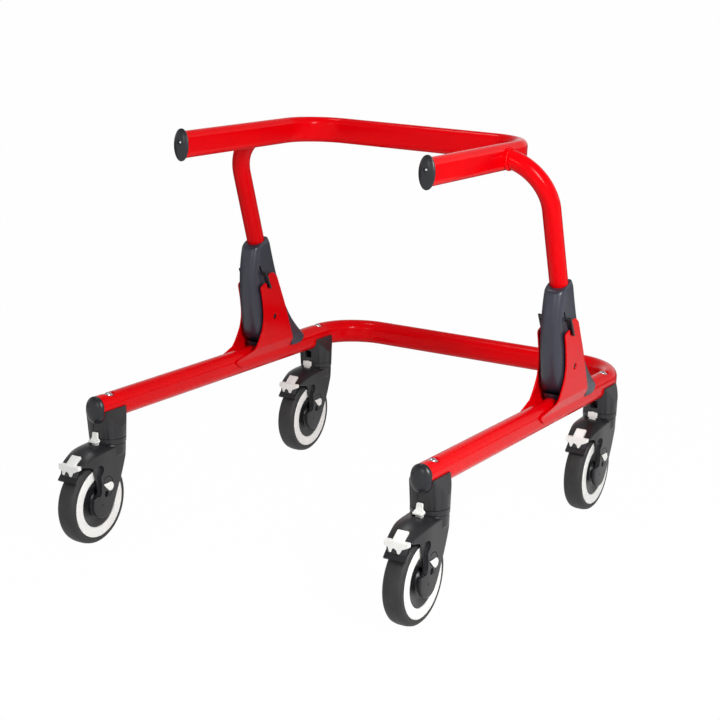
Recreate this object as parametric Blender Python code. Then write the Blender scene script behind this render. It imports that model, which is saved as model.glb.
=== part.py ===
# Gait trainer: a wheeled walking frame that stands behind and beside its user.
# A U-shaped base rail on four braked swivel casters carries two leaning legs, which fold
# forward about a pivot, and the legs carry a U-shaped handlebar that slides up and down.
# The source is in millimetres, and the meshes are written in metres.
# Frame: origin on the floor under the middle of the object, -Y the open front, +Z up.
# Left is -X and right is +X, as seen from in front, looking along +Y.
import math

import bmesh
import bpy
from mathutils import Matrix, Vector

MM = 0.001
GAP = 0.3                     # clearance between neighbouring pieces

# Stance
TRACK = 530.0                 # between the centre lines of the two rails
WHEELBASE = 580.0             # between the front and the rear swivels
REAR_REACH = 87.5             # from the rear swivels back to the crossbar's centre line

# Base rail, a flat-oval tube
RAIL_WIDE = 30.0
RAIL_TALL = 39.0
RAIL_WALL = 2.0
RAIL_BEND = 80.0              # corner radius on the tube's centre line
RAIL_NOSE = 27.2              # tube beyond the front swivels
BASE_CAP_DOME = 11.0
BASE_CAP_LIP = 0.5            # how far the cap stands out round the tube
CAP_PLUG = 14.0               # length of a cap's plug inside its tube
CAP_FLANGE = 2.5

# Casters
WHEEL_R = 62.5
WHEEL_WIDE = 30.0
TRAIL = 37.8                  # from the swivel axis to the axle
TYRE_SHOULDER = 3.2           # half-width lost at the tread's rounded edge
RIM_OUT_R = 51.7
RIM_IN_R = 37.0
HUB_R = 13.0
HUB_NECK_R = 17.0
HUB_DISH = 5.0                # depth of the dished disc below the ring's face
AXLE_R = 4.0
AXLE_HEAD_R = 6.5
AXLE_HEAD = 2.0
FORK_WIDE = 48.0
FORK_ARM = 6.5                # thickness of one arm
FORK_WELL = 3.0               # clearance over the tread
HOOD_RISE = 19.7              # collar top above the top of the wheel
HOOD_FRONT = -81.0            # front lip of the hood from the swivel axis
ARM_END_R = 21.5
AXLE_BLIND = 4.0              # depth of the axle's blind hole in the right arm
COLLAR_R = 26.0
COLLAR_TALL = 24.0
STEM_R = 6.0
STEM_TALL = 15.0
HOUSING_R = 26.7
HOUSING_TALL = 31.9           # from its foot to the underside of the rail
EAR_RISE = 19.0               # how far the ears climb beside the rail
EAR_EDGE = 2.6                # thickness of an ear at its top
EAR_SLOPE = 24.0              # height of the ear's slanting facet
LOCK_SLOT = 12.0
LOCK_SLOT_UP = 23.0           # slot centre above the housing's foot
LOCK_SLOT_DEEP = 4.0

# Lock tab, a slider in a pocket of the hood
TAB_THICK = 3.6
TAB_SHANK_WIDE = 11.0
TAB_BLOCK_WIDE = 15.0
TAB_TRAVEL = 6.0
TAB_POCKET_DEEP = 14.0
TAB_LEDGE = 6.5               # how far the raised tab's ledge stands out
TAB_LEDGE_UP = 4.2            # underside of the ledge above the collar's top

# Brake pedal and shoe, about the pedal's pivot
PEDAL_WIDE = 35.0
PEDAL_PIN_R = 1.8
PEDAL_PIN = 2.6
SHOE_WIDE = 33.0
PEDAL_DEEP = 8.5
SHOE_CLEAR = 3.2
SHOE_THICK = 4.0
TONGUE_WIDE = 16.0
CHEEK_CLEAR = 0.6

# Selector on the fork's flank
SELECTOR_R = 6.6
SELECTOR_TIP = 17.0
SELECTOR_AIM = 160.0          # degrees, from +Y towards +Z
SELECTOR_THICK = 1.6
SELECTOR_PIN_R = 2.0
SELECTOR_PIN = 3.0

# Caster bolt
BOLT_R = 4.0
BOLT_HEAD_R = 5.6
BOLT_HEAD = 3.4
WASHER_R = 7.4
WASHER = 1.2
BOLT_SINK = 4.0               # floor of the dimple for the bolt below the rail's crown
DIMPLE_WALL = 2.0
BOLT_BITE = 11.0              # length of the bolt inside the housing

# Leg pivot and side plates
PIVOT_AHEAD = 172.2           # pivot ahead of the rear swivels
PIVOT_RISE = 46.7             # pivot above the top of the rail
PLATE_STANDOFF = 5.6          # plate's inner face beyond the flank of the rail
PLATE_THICK = 2.5
PLATE_FOLD = -44.6            # height of the upper fold about the pivot
PLATE_FLANGE = -59.6          # height of the lower fold about the pivot
PIVOT_BOLT_R = 3.0
PIVOT_HEAD_R = 4.2

# Leg housing
POST_LEAN = 21.2              # degrees forward of upright
POST_OFFSET = 19.2            # post axis behind the pivot, square to the post
POST_R = 13.9
POST_WALL = 2.0
HOUSING_FLAT = 16.5           # half-width of the housing's flat sides
HOUSING_NOSE_R = 17.0         # plan radius of the housing's front
HOUSING_TOP = 129.0           # along the post axis above the point beside the pivot
HOUSING_TOP_CHAMFER = 5.0
BORE_FLOOR = -37.0            # along the post axis
FOOT_ARC_R = 46.0             # foot radius that clears the rail when the leg folds
FOOT_CORNER = -40             # degrees below the horizontal where the foot's arc ends
FOLD_RANGE = 65               # degrees that the legs fold forward
HEEL_FRONT = 60.5
HEEL_REAR = 105.5
SEAT_REAR = -8.0
SEAT_DEEP = 5.0               # how far the seat reaches below the rail's crown

# Catch, a yoke through the housing
CATCH_LEAN = 29.5             # degrees forward of upright
CATCH_FOOT_Y = -19.0
CATCH_FOOT_Z = 50.0
CATCH_LONG = 45.0
CATCH_THICK = 3.6
CATCH_TONGUE = 3.0
CATCH_BAR_FROM = 26.0         # along the catch, where the crossbar starts
CATCH_BAR_WIDE = 7.0
CATCH_TRAVEL = 11.0

# Clamp screw on the back of the housing
CLAMP_UP = 96.0               # along the post axis
CLAMP_R = 3.0
CLAMP_HEAD_R = 5.5
CLAMP_HEAD = 4.0
CLAMP_SHANK = 7.2

# Handlebar, a flat-oval tube, and its posts
HANDLE_INSET = 68.3           # centre line of a side tube inside the rail's centre line
HANDLE_RISE = 311.5           # centre line above the pivot
HANDLE_CROSS = 11.5           # crossbar's centre line behind the pivot
HANDLE_REACH = 329.0          # tube's open end ahead of the pivot
HANDLE_WIDE = 20.0
HANDLE_TALL = 39.0
HANDLE_WALL = 2.0
HANDLE_BEND = 67.0
POST_END_RISE = 312.6         # level of the post's bend, if it ran on, above the pivot
POST_BEND = 78.0
POST_FOOT = 60.0              # post's lower end along the post axis
WELD = 3.0
HANDLE_CAP_WIDE = 25.0
HANDLE_CAP_TALL = 48.0
HANDLE_CAP_DOME = 4.0

# Facets
ROUND = 12
WHEEL_SIDES = 24
BEND_STEPS = 6

# Places that follow from the sizes
COLLAR_Z = 2 * WHEEL_R + HOOD_RISE
HOUSING_Z = COLLAR_Z + GAP
RAIL_Z = HOUSING_Z + HOUSING_TALL + RAIL_TALL / 2
RAIL_TOP = RAIL_Z + RAIL_TALL / 2
LENGTH = WHEEL_R + TRAIL + WHEELBASE + REAR_REACH + RAIL_WIDE / 2
FRONT_Y = WHEEL_R + TRAIL - LENGTH / 2
REAR_Y = FRONT_Y + WHEELBASE
NOSE_Y = FRONT_Y - RAIL_NOSE
CROSS_Y = REAR_Y + REAR_REACH
PIVOT_Y = REAR_Y - PIVOT_AHEAD
PIVOT_Z = RAIL_TOP + PIVOT_RISE
WELL_HALF = FORK_WIDE / 2 - FORK_ARM
WELL_R = WHEEL_R + FORK_WELL
PLATE_IN = RAIL_WIDE / 2 + PLATE_STANDOFF
FLARE = PLATE_IN - 0.8        # half-width of the housing between its plates
RAIL_BELOW = -PIVOT_RISE      # top of the rail about the pivot
POST_DIR = Vector((0, -math.sin(math.radians(POST_LEAN)), math.cos(math.radians(POST_LEAN))))
POST_BACK = Vector((0, POST_DIR.z, -POST_DIR.y))
HANDLE_HALF = TRACK / 2 - HANDLE_INSET
PEDAL_Y = HOOD_FRONT + 7.0
PEDAL_Z = COLLAR_Z - 18.0
TAB_Y = -HOUSING_R - 2 * GAP
SELECTOR_Y = -25.5
SELECTOR_Z = WHEEL_R + 23.5
CATCH_DIR = Vector((0, -math.sin(math.radians(CATCH_LEAN)), math.cos(math.radians(CATCH_LEAN))))
CATCH_BACK = Vector((0, CATCH_DIR.z, -CATCH_DIR.y))

SIDES = {"left": -1, "right": 1}
CORNERS = {
    "front_left": (-1, FRONT_Y), "front_right": (1, FRONT_Y),
    "rear_left": (-1, REAR_Y), "rear_right": (1, REAR_Y),
}

# Colours are linear, with roughness and metallic value
FINISHES = {
    "red_paint": ((0.75, 0.003, 0.009), 0.25, 0.0),
    "grey_plastic": ((0.062, 0.066, 0.075), 0.45, 0.0),
    "black_plastic": ((0.030, 0.030, 0.032), 0.50, 0.0),
    "white_plastic": ((0.82, 0.82, 0.80), 0.40, 0.0),
    "black_rubber": ((0.022, 0.022, 0.022), 0.70, 0.0),
    "zinc": ((0.62, 0.62, 0.63), 0.30, 1.0),
    "black_steel": ((0.040, 0.040, 0.045), 0.40, 1.0),
}


def clear_scene():
    """Remove every object, so that the model starts from nothing."""
    for item in list(bpy.data.objects):
        bpy.data.objects.remove(item, do_unlink=True)


def finish(name):
    """The named Principled material, made once."""
    material = bpy.data.materials.get(name)
    if material is None:
        color, roughness, metallic = FINISHES[name]
        material = bpy.data.materials.new(name)
        material.use_nodes = True
        shader = material.node_tree.nodes["Principled BSDF"]
        shader.inputs["Base Color"].default_value = (*color, 1)
        shader.inputs["Roughness"].default_value = roughness
        shader.inputs["Metallic"].default_value = metallic
        material.diffuse_color = (*color, 1)
    return material


def to_mesh(bm, name):
    """Finish a bmesh in millimetres as a mesh in metres, faces outwards."""
    bmesh.ops.remove_doubles(bm, verts=bm.verts, dist=0.0005)
    bmesh.ops.recalc_face_normals(bm, faces=bm.faces)
    bmesh.ops.scale(bm, vec=(MM, MM, MM), verts=bm.verts)
    mesh = bpy.data.meshes.new(name)
    bm.to_mesh(mesh)
    bm.free()
    return mesh


def loft(rings, name, closed=False):
    """Skin a list of rings with equal counts of points; end faces close it, or it joins up."""
    bm = bmesh.new()
    rows = [[bm.verts.new(point) for point in ring] for ring in rings]
    count = len(rows[0])
    last = len(rows) if closed else len(rows) - 1
    for i in range(last):
        here, there = rows[i], rows[(i + 1) % len(rows)]
        for j in range(count):
            k = (j + 1) % count
            bm.faces.new((here[j], here[k], there[k], there[j]))
    if not closed:
        bm.faces.new(rows[0])
        bm.faces.new(rows[-1])
    return to_mesh(bm, name)


def prism(outline, low, high, name):
    """Extrude an outline of (y, z) points from x = low to x = high."""
    return loft([[(x, y, z) for y, z in outline] for x in (low, high)], name)


def box(low, high, name):
    """An upright box between two corners."""
    outline = [(low[1], low[2]), (high[1], low[2]), (high[1], high[2]), (low[1], high[2])]
    return prism(outline, low[0], high[0], name)


def turned(profile, name, sides=ROUND, axis="Z", outside=False):
    """Turn a closed profile of (radius, along) points round an axis.

    With outside set, the flats of the polygon lie on the stated radius, one of them down.
    """
    scale = 1 / math.cos(math.pi / sides) if outside else 1.0
    bm = bmesh.new()
    turns = [(i + 0.5) * 2 * math.pi / sides for i in range(sides)]
    columns = []
    for radius, along in profile:
        if radius == 0:
            columns.append([bm.verts.new((0, 0, along))] * sides)
        else:
            r = radius * scale
            columns.append([bm.verts.new((r * math.cos(t), r * math.sin(t), along)) for t in turns])
    for i in range(len(profile)):
        one, two = columns[i], columns[(i + 1) % len(profile)]
        for j in range(sides):
            k = (j + 1) % sides
            corners = [one[j], one[k], two[k], two[j]]
            distinct = [v for n, v in enumerate(corners) if v not in corners[:n]]
            if len(distinct) > 2:
                bm.faces.new(distinct)
    turn = {"X": Matrix.Rotation(math.pi / 2, 3, "Y"), "Y": Matrix.Rotation(-math.pi / 2, 3, "X")}
    if axis in turn:
        bmesh.ops.rotate(bm, verts=bm.verts, matrix=turn[axis])
    return to_mesh(bm, name)


def rod(radius, low, high, name, sides=ROUND, axis="Z"):
    """A plain cylinder along an axis."""
    return turned([(0, low), (radius, low), (radius, high), (0, high)], name, sides, axis)


def moved(mesh, offset, turn=None):
    """A copy of a mesh, turned and then shifted by an offset in millimetres."""
    copy = mesh.copy()
    matrix = Matrix.Translation(Vector(offset) * MM)
    if turn is not None:
        matrix = matrix @ turn.to_4x4()
    copy.transform(matrix)
    return copy


def rounded(points, steps=3):
    """An outline whose points (y, z, radius) are rounded by arcs of that radius."""
    outline = []
    for i, (y, z, radius) in enumerate(points):
        here = Vector((y, z))
        if radius == 0:
            outline.append((y, z))
            continue
        before = (Vector(points[i - 1][:2]) - here).normalized()
        after = (Vector(points[(i + 1) % len(points)][:2]) - here).normalized()
        half = before.angle(after) / 2
        centre = here + (before + after).normalized() * (radius / math.sin(half))
        start = here + before * (radius / math.tan(half)) - centre
        swing = start.angle_signed(here + after * (radius / math.tan(half)) - centre)
        for k in range(steps + 1):
            spoke = start.copy()
            spoke.rotate(Matrix.Rotation(-swing * k / steps, 2))
            outline.append(tuple(centre + spoke))
    return outline


def smooth(points, steps=4):
    """Points on a Catmull-Rom curve through a list of (y, z) points, ends included."""
    ends = [points[0]] + list(points) + [points[-1]]
    curve = []
    for i in range(1, len(ends) - 2):
        a, b, c, d = (Vector(ends[i + k]) for k in (-1, 0, 1, 2))
        for k in range(steps):
            t = k / steps
            point = 2 * b + (c - a) * t + (2 * a - 5 * b + 4 * c - d) * t ** 2
            point += (3 * b - a - 3 * c + d) * t ** 3
            curve.append(tuple(point / 2))
    curve.append(tuple(points[-1]))
    return curve


def flat_oval(wide, tall, steps=6):
    """Section points (across, up) of a tube with flat sides and a round top and bottom."""
    radius = wide / 2
    rise = (tall - wide) / 2
    points = []
    for sign in (1, -1):
        for k in range(steps + 1):
            angle = math.pi * k / steps
            points.append((sign * radius * math.cos(angle), sign * (rise + radius * math.sin(angle))))
    return points


def ellipse(wide, tall, count):
    """Points of an ellipse that start and run as those of a flat oval do."""
    turns = [2 * math.pi * (i + 0.5) / count - math.pi / count for i in range(count)]
    return [(wide / 2 * math.cos(t), tall / 2 * math.sin(t)) for t in turns]


def circle(radius, count=ROUND):
    """Section points of a round tube."""
    return ellipse(2 * radius, 2 * radius, count)


def bent(corners, radius, steps=BEND_STEPS):
    """Points and directions along straight runs joined by arcs of one radius."""
    first = (corners[1] - corners[0]).normalized()
    path = [(corners[0], first)]
    for before, here, after in zip(corners, corners[1:], corners[2:]):
        arriving = (here - before).normalized()
        leaving = (after - here).normalized()
        angle = arriving.angle(leaving)
        normal = arriving.cross(leaving).normalized()
        start = here - arriving * radius * math.tan(angle / 2)
        centre = start + normal.cross(arriving) * radius
        for k in range(steps + 1):
            turn = Matrix.Rotation(angle * k / steps, 3, normal)
            path.append((centre + turn @ (start - centre), turn @ arriving))
    path.append((corners[-1], (corners[-1] - corners[-2]).normalized()))
    return path


def swept(path, section, normal, name, hollow=None):
    """Carry a section along a flat path; its up axis is the normal of the path's plane.

    A hollow section leaves the tube open at both ends, with a flat rim at each.
    """
    def ring(place, along, points):
        across = along.cross(normal).normalized()
        return [place + across * u + normal * v for u, v in points]

    rings = [ring(place, along, section) for place, along in path]
    if hollow is None:
        return loft(rings, name)
    inner = [ring(place, along, hollow) for place, along in reversed(path)]
    return loft(rings + inner, name, closed=True)


def combined(base, steps, name):
    """The mesh that is left after a list of Boolean steps, each an operation and a mesh."""
    scene = bpy.context.scene.collection
    body = bpy.data.objects.new("work", base)
    scene.objects.link(body)
    tools = []
    for operation, mesh in steps:
        tool = bpy.data.objects.new("tool", mesh)
        scene.objects.link(tool)
        modifier = body.modifiers.new(operation, "BOOLEAN")
        modifier.operation = operation
        modifier.solver = "EXACT"
        modifier.object = tool
        tools.append(tool)
    graph = bpy.context.evaluated_depsgraph_get()
    result = bpy.data.meshes.new_from_object(body.evaluated_get(graph), depsgraph=graph)
    for item in [body] + tools:
        bpy.data.objects.remove(item, do_unlink=True)
    result.name = name
    return result


def empty(name, place, parent=None):
    """An empty that marks a joint; its place is in millimetres under its parent."""
    marker = bpy.data.objects.new(name, None)
    marker.empty_display_size = 20 * MM
    marker.location = Vector(place) * MM
    marker.parent = parent
    bpy.context.scene.collection.objects.link(marker)
    return marker


def piece(name, mesh, slot, place=(0, 0, 0), parent=None):
    """One named sub-part with its material, placed under its parent."""
    mesh.materials.clear()
    mesh.materials.append(finish(slot))
    mesh.shade_smooth()
    mesh.set_sharp_from_angle(angle=math.radians(32))
    item = bpy.data.objects.new(name, mesh)
    item.location = Vector(place) * MM
    item.parent = parent
    bpy.context.scene.collection.objects.link(item)
    return item


# Base rail and its caps

def rail_path():
    """Centre line of the base rail, from the left nose round the back to the right nose."""
    x = TRACK / 2
    corners = [(-x, NOSE_Y), (-x, CROSS_Y), (x, CROSS_Y), (x, NOSE_Y)]
    return bent([Vector((a, b, RAIL_Z)) for a, b in corners], RAIL_BEND)


def rail_clearance():
    """The rail's outer shape grown by the clearance, to cut what straddles it."""
    section = flat_oval(RAIL_WIDE + 2 * GAP, RAIL_TALL + 2 * GAP)
    return swept(rail_path(), section, Vector((0, 0, 1)), "rail_clearance")


def base_frame_mesh():
    """The bent oval tube with a dimple and a bolt hole through it over each caster."""
    outer = flat_oval(RAIL_WIDE, RAIL_TALL)
    inner = flat_oval(RAIL_WIDE - 2 * RAIL_WALL, RAIL_TALL - 2 * RAIL_WALL)
    tube = swept(rail_path(), outer, Vector((0, 0, 1)), "tube", inner)
    hole = rod(BOLT_R + GAP, RAIL_Z - RAIL_TALL, RAIL_Z + RAIL_TALL, "hole", 12)
    floor = RAIL_TOP - BOLT_SINK
    dimple = rod(WASHER_R + 2 * GAP, floor, RAIL_TOP + BOLT_SINK, "dimple", 12)
    steps = []
    for side, y in CORNERS.values():
        place = (side * TRACK / 2, y, 0)
        steps.append(("UNION", moved(dimple_cup(), place)))
        steps.append(("DIFFERENCE", moved(dimple, place)))
        steps.append(("DIFFERENCE", moved(hole, place)))
    return combined(tube, steps, "base_frame")


def dimple_cup():
    """Wall and floor of a dimple, kept inside the tube's outer shape."""
    low = RAIL_TOP - BOLT_SINK - DIMPLE_WALL
    cup = rod(WASHER_R + 2 * GAP + DIMPLE_WALL, low, RAIL_TOP + 1, "cup", 12)
    section = flat_oval(RAIL_WIDE - RAIL_WALL, RAIL_TALL - RAIL_WALL)
    ends = [(Vector((0, y, RAIL_Z)), Vector((0, 1, 0))) for y in (-RAIL_WIDE, RAIL_WIDE)]
    return combined(cup, [("INTERSECT", swept(ends, section, Vector((0, 0, 1)), "inside"))], "cup")


def cap_rings(plug, flange, back, dome, steps=4):
    """Rings of a tube cap along -Y: plug, flange and a dome that closes to a small flat."""
    rings = [[(u, back + CAP_PLUG, v) for u, v in plug], [(u, back, v) for u, v in plug]]
    rings.append([(u, back, v) for u, v in flange])
    rings.append([(u, back - CAP_FLANGE, v) for u, v in flange])
    for k in range(1, steps + 1):
        angle = math.pi / 2 * k / (steps + 0.35)
        size, out = math.cos(angle), math.sin(angle)
        rings.append([(u * size, back - CAP_FLANGE - dome * out, v * size) for u, v in flange])
    return rings


def base_cap_mesh():
    """Domed end cap of the rail, its plug inside the tube."""
    slack = RAIL_WALL + GAP
    plug = flat_oval(RAIL_WIDE - 2 * slack, RAIL_TALL - 2 * slack)
    flange = flat_oval(RAIL_WIDE + 2 * BASE_CAP_LIP, RAIL_TALL + 2 * BASE_CAP_LIP)
    return loft(cap_rings(plug, flange, -GAP, BASE_CAP_DOME - CAP_FLANGE), "base_cap")


# Casters

def caster_housing_mesh(rear):
    """Fixed housing under the rail: a round foot with two ears and a slot for the lock tab."""
    top = HOUSING_TALL + EAR_RISE
    body = rod(HOUSING_R, 0, top, "housing", 20)
    ear_in = RAIL_WIDE / 2 + EAR_EDGE
    steps = []
    for side in (-1, 1):
        facet = [(ear_in, top + 1), (HOUSING_R + 9, top + 1), (HOUSING_R + 9, top - EAR_SLOPE * 2),
                 (ear_in, top)]
        points = [(side * x, z) for x, z in facet]
        rings = [[(x, y, z) for x, z in points] for y in (-HOUSING_R - 5, HOUSING_R + 5)]
        steps.append(("DIFFERENCE", loft(rings, "facet")))
    rail = moved(rail_clearance(), (-TRACK / 2, -(REAR_Y if rear else FRONT_Y), -HOUSING_Z))
    steps.append(("DIFFERENCE", rail))
    slot_low = LOCK_SLOT_UP - LOCK_SLOT / 2
    slot = box((-LOCK_SLOT / 2, -HOUSING_R - 5, slot_low),
               (LOCK_SLOT / 2, -HOUSING_R + LOCK_SLOT_DEEP, slot_low + LOCK_SLOT), "slot")
    steps.append(("DIFFERENCE", slot))
    steps.append(("DIFFERENCE", rod(BOLT_R + GAP, 5, top, "bolt_hole", 12)))
    steps.append(("DIFFERENCE", rod(STEM_R + GAP, -5, STEM_TALL + GAP, "stem_bore")))
    return combined(body, steps, "caster_housing")


def bolt_mesh():
    """Dome-head bolt with its washer, seated at z = 0 on the floor of its dimple."""
    foot = BOLT_SINK - RAIL_TALL - BOLT_BITE
    profile = [(0, foot), (BOLT_R, foot), (BOLT_R, GAP), (WASHER_R, GAP), (WASHER_R, GAP + WASHER),
               (BOLT_HEAD_R, GAP + WASHER), (BOLT_HEAD_R * 0.94, GAP + WASHER + BOLT_HEAD * 0.45),
               (BOLT_HEAD_R * 0.6, GAP + WASHER + BOLT_HEAD * 0.85), (0, GAP + WASHER + BOLT_HEAD)]
    return turned(profile, "caster_bolt")


def arm_points():
    """Arm end of the fork: an arc round the axle, from its rear edge to its front edge."""
    turns = [math.radians(a) for a in range(-30, -171, -35)]
    return [(-TRAIL + ARM_END_R * math.cos(a), WHEEL_R + ARM_END_R * math.sin(a)) for a in turns]


def fork_outline():
    """Side outline of the fork about the swivel axis at floor level.

    Points near the wheel are set from the axle, and points of the hood from the collar's top.
    """
    neck = [(12.0, 12.0), (12.0, -1.0), (11.5, -21.7), (7.0, -36.7)]
    rear = [(38.8, 29.5), (31.8, 14.5), (25.8, -0.5)]
    front = [(-20.2, 6.5), (-15.2, 22.5), (-17.2, 37.5), (-15.2, 47.5)]
    under = [(-60.0, -25.7), (-70.0, -21.7), (HOOD_FRONT, -20.2), (HOOD_FRONT, 12.0)]
    outline = [(y, COLLAR_Z + z) for y, z in neck]
    outline += [(y - TRAIL, WHEEL_R + z) for y, z in rear]
    outline += arm_points()
    outline += [(y - TRAIL, WHEEL_R + z) for y, z in front]
    outline += [(y, COLLAR_Z + z) for y, z in under]
    return outline


def hood_block():
    """A block whose top is the hood's crown, falling away and narrowing to the front.

    Each station gives y, the crown's height on the collar, the half-width and the fall to
    the flank.
    """
    half = FORK_WIDE / 2
    stations = [(16, -0.1, half, 2), (0, -0.1, half, 3), (-22, 1.6, half, 5.5), (-40, 1.7, half, 7),
                (-54, -1.2, half - 1.0, 6), (-68, -7.2, half - 3.2, 4.5), (-82, -16.5, half - 5.6, 2)]
    across = [-1, -0.88, -0.65, 0, 0.65, 0.88, 1]
    rings = []
    for y, rise, wide, fall in stations:
        top = [(u * wide, y, COLLAR_Z + rise - fall * abs(u) ** 5) for u in across]
        rings.append([(-wide, y, 10)] + top + [(wide, y, 10)])
    return loft(rings, "hood_block")


def fork_cuts():
    """What is cut out of the fork: wheel, pedal slot, tab pocket and the holes for its pins."""
    axle = (0, -TRAIL, WHEEL_R)
    well = moved(rod(WELL_R, -WELL_HALF, WELL_HALF, "well", 28, "X"), axle)
    axle_hole = moved(rod(AXLE_R + GAP, -FORK_WIDE, WELL_HALF + AXLE_BLIND, "hole", 12, "X"), axle)
    slot_half = TONGUE_WIDE / 2 + CHEEK_CLEAR
    slot = box((-slot_half, HOOD_FRONT - 5, PEDAL_Z - 25), (slot_half, PEDAL_Y + 5.5, PEDAL_Z + 25), "slot")
    pin = rod(PEDAL_PIN_R + GAP, -slot_half - PEDAL_PIN - GAP, slot_half + PEDAL_PIN + GAP, "pin", 12, "X")
    tab_half = TAB_BLOCK_WIDE / 2 + GAP
    back, front = TAB_Y + GAP, TAB_Y - TAB_THICK - GAP
    step, floor = COLLAR_Z + TAB_LEDGE_UP - TAB_TRAVEL - GAP, COLLAR_Z - TAB_POCKET_DEEP
    pocket = prism([(back, floor), (back, COLLAR_Z + 30), (front - TAB_LEDGE, COLLAR_Z + 30),
                    (front - TAB_LEDGE, step), (front, step), (front, floor)],
                   -tab_half, tab_half, "pocket")
    selector = rod(SELECTOR_PIN_R + GAP, FORK_WIDE / 2 - SELECTOR_PIN - GAP, FORK_WIDE, "seat", 12, "X")
    cuts = [well, axle_hole, slot, moved(pin, (0, PEDAL_Y, PEDAL_Z)), pocket,
            moved(selector, (0, SELECTOR_Y, SELECTOR_Z))]
    return [("DIFFERENCE", cut) for cut in cuts]


def fork_mesh():
    """Fork: hood and two arms round the wheel, a collar and a stem into the housing."""
    blank = prism(fork_outline(), -FORK_WIDE, FORK_WIDE, "fork_blank")
    collar = turned([(0, COLLAR_Z - COLLAR_TALL), (COLLAR_R - 7, COLLAR_Z - COLLAR_TALL),
                     (COLLAR_R, COLLAR_Z - COLLAR_TALL + 8), (COLLAR_R, COLLAR_Z), (STEM_R, COLLAR_Z),
                     (STEM_R, COLLAR_Z + STEM_TALL), (0, COLLAR_Z + STEM_TALL)], "collar", 16)
    head_room = rod(HOUSING_R + 2 * GAP, COLLAR_Z - 0.05, COLLAR_Z + 30, "head_room", 20)
    steps = [("INTERSECT", hood_block()), ("DIFFERENCE", head_room), ("UNION", collar)]
    return combined(blank, steps + fork_cuts(), "fork")


def tyre_mesh():
    """Solid tyre with rounded shoulders, its tread crowned, round its axle."""
    half, inner = WHEEL_WIDE / 2 - 0.5, RIM_OUT_R + GAP
    shoulder = half - TYRE_SHOULDER
    profile = [(inner, -half), (WHEEL_R - 5.5, -half), (WHEEL_R - 1.9, -shoulder),
               (WHEEL_R, -shoulder * 0.45), (WHEEL_R, shoulder * 0.45), (WHEEL_R - 1.9, shoulder),
               (WHEEL_R - 5.5, half), (inner, half)]
    return turned(profile, "tyre", WHEEL_SIDES, "X", outside=True)


def wheel_rim_mesh():
    """White ring that the tyre sits on."""
    half = WHEEL_WIDE / 2
    profile = [(RIM_IN_R, -half), (RIM_OUT_R, -half), (RIM_OUT_R, half), (RIM_IN_R, half)]
    return turned(profile, "wheel_rim", WHEEL_SIDES, "X", outside=True)


def wheel_hub_mesh():
    """Dark dished centre of the wheel with its bore, as wide as the fork allows."""
    edge, face = RIM_IN_R - GAP, WHEEL_WIDE / 2 - 1.5
    end = WELL_HALF - 2 * GAP
    profile = [(AXLE_R + GAP, -end), (HUB_R, -end), (HUB_NECK_R, HUB_DISH - face), (edge, -face),
               (edge, face), (HUB_NECK_R, face - HUB_DISH), (HUB_R, end), (AXLE_R + GAP, end)]
    return turned(profile, "wheel_hub", WHEEL_SIDES, "X", outside=True)


def axle_mesh():
    """Axle bolt from the left arm into a blind hole of the right arm."""
    seat = -FORK_WIDE / 2 - GAP
    tip = WELL_HALF + AXLE_BLIND - GAP
    profile = [(0, seat - AXLE_HEAD), (AXLE_HEAD_R - 0.8, seat - AXLE_HEAD), (AXLE_HEAD_R, seat - 1),
               (AXLE_HEAD_R, seat), (AXLE_R, seat), (AXLE_R, tip), (0, tip)]
    return turned(profile, "axle", 16, "X")


def pedal_mesh():
    """Brake pedal about its pivot: bar, toothed skirt, tongue on the hood, pins and shoe."""
    half = PEDAL_WIDE / 2
    bar_back = HOOD_FRONT - CHEEK_CLEAR - PEDAL_Y
    bar_front = bar_back - PEDAL_DEEP
    teeth = [(-half, 1.5), (-half, -6.0), (-12.0, -8.3), (-10.0, -14.0), (-7.8, -14.6), (-5.0, -8.8),
             (-2.5, -8.4), (0.6, -10.6), (2.4, -14.8), (5.0, -14.8), (8.5, -8.3), (12.0, -7.0),
             (half, -3.8), (half, 1.5)]
    skirt = loft([[(x, y, z) for x, z in teeth] for y in (bar_front, bar_front + 2.6)], "skirt")
    bar = prism([(bar_front + 0.4, -5.0), (bar_back, -4.5), (bar_back, 1.0), (bar_front + 0.4, 1.2)],
                0.3 - half, half - 0.3, "bar")
    tongue = prism([(bar_back - 4, -4.0), (2.0, -4.5), (4.2, -1.0), (4.2, 9.0), (3.0, 11.4), (0.5, 10.6),
                    (bar_back - 4, 1.3)], -TONGUE_WIDE / 2, TONGUE_WIDE / 2, "tongue")
    pins = rod(PEDAL_PIN_R, -TONGUE_WIDE / 2 - PEDAL_PIN, TONGUE_WIDE / 2 + PEDAL_PIN, "pins", 12, "X")
    web = prism([(bar_front + 1.5, -2.0), (bar_front + 1.5, -16.0), (bar_front + 5.5, -17.0),
                 (bar_front + 5.5, -2.0)], -SHOE_WIDE / 2 + 2, SHOE_WIDE / 2 - 2, "web")
    centre = Vector((-TRAIL - PEDAL_Y, WHEEL_R - PEDAL_Z))
    near, far = WHEEL_R + SHOE_CLEAR, WHEEL_R + SHOE_CLEAR + SHOE_THICK
    angles = [math.radians(a) for a in (143, 138.7, 134.4, 130)]
    arc = [centre + Vector((r * math.cos(a), r * math.sin(a)))
           for r, turns in ((near, angles), (far, angles[::-1])) for a in turns]
    shoe = prism([tuple(p) for p in arc], -SHOE_WIDE / 2, SHOE_WIDE / 2, "shoe")
    return combined(bar, [("UNION", part) for part in (skirt, tongue, pins, web, shoe)], "brake_pedal")


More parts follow.
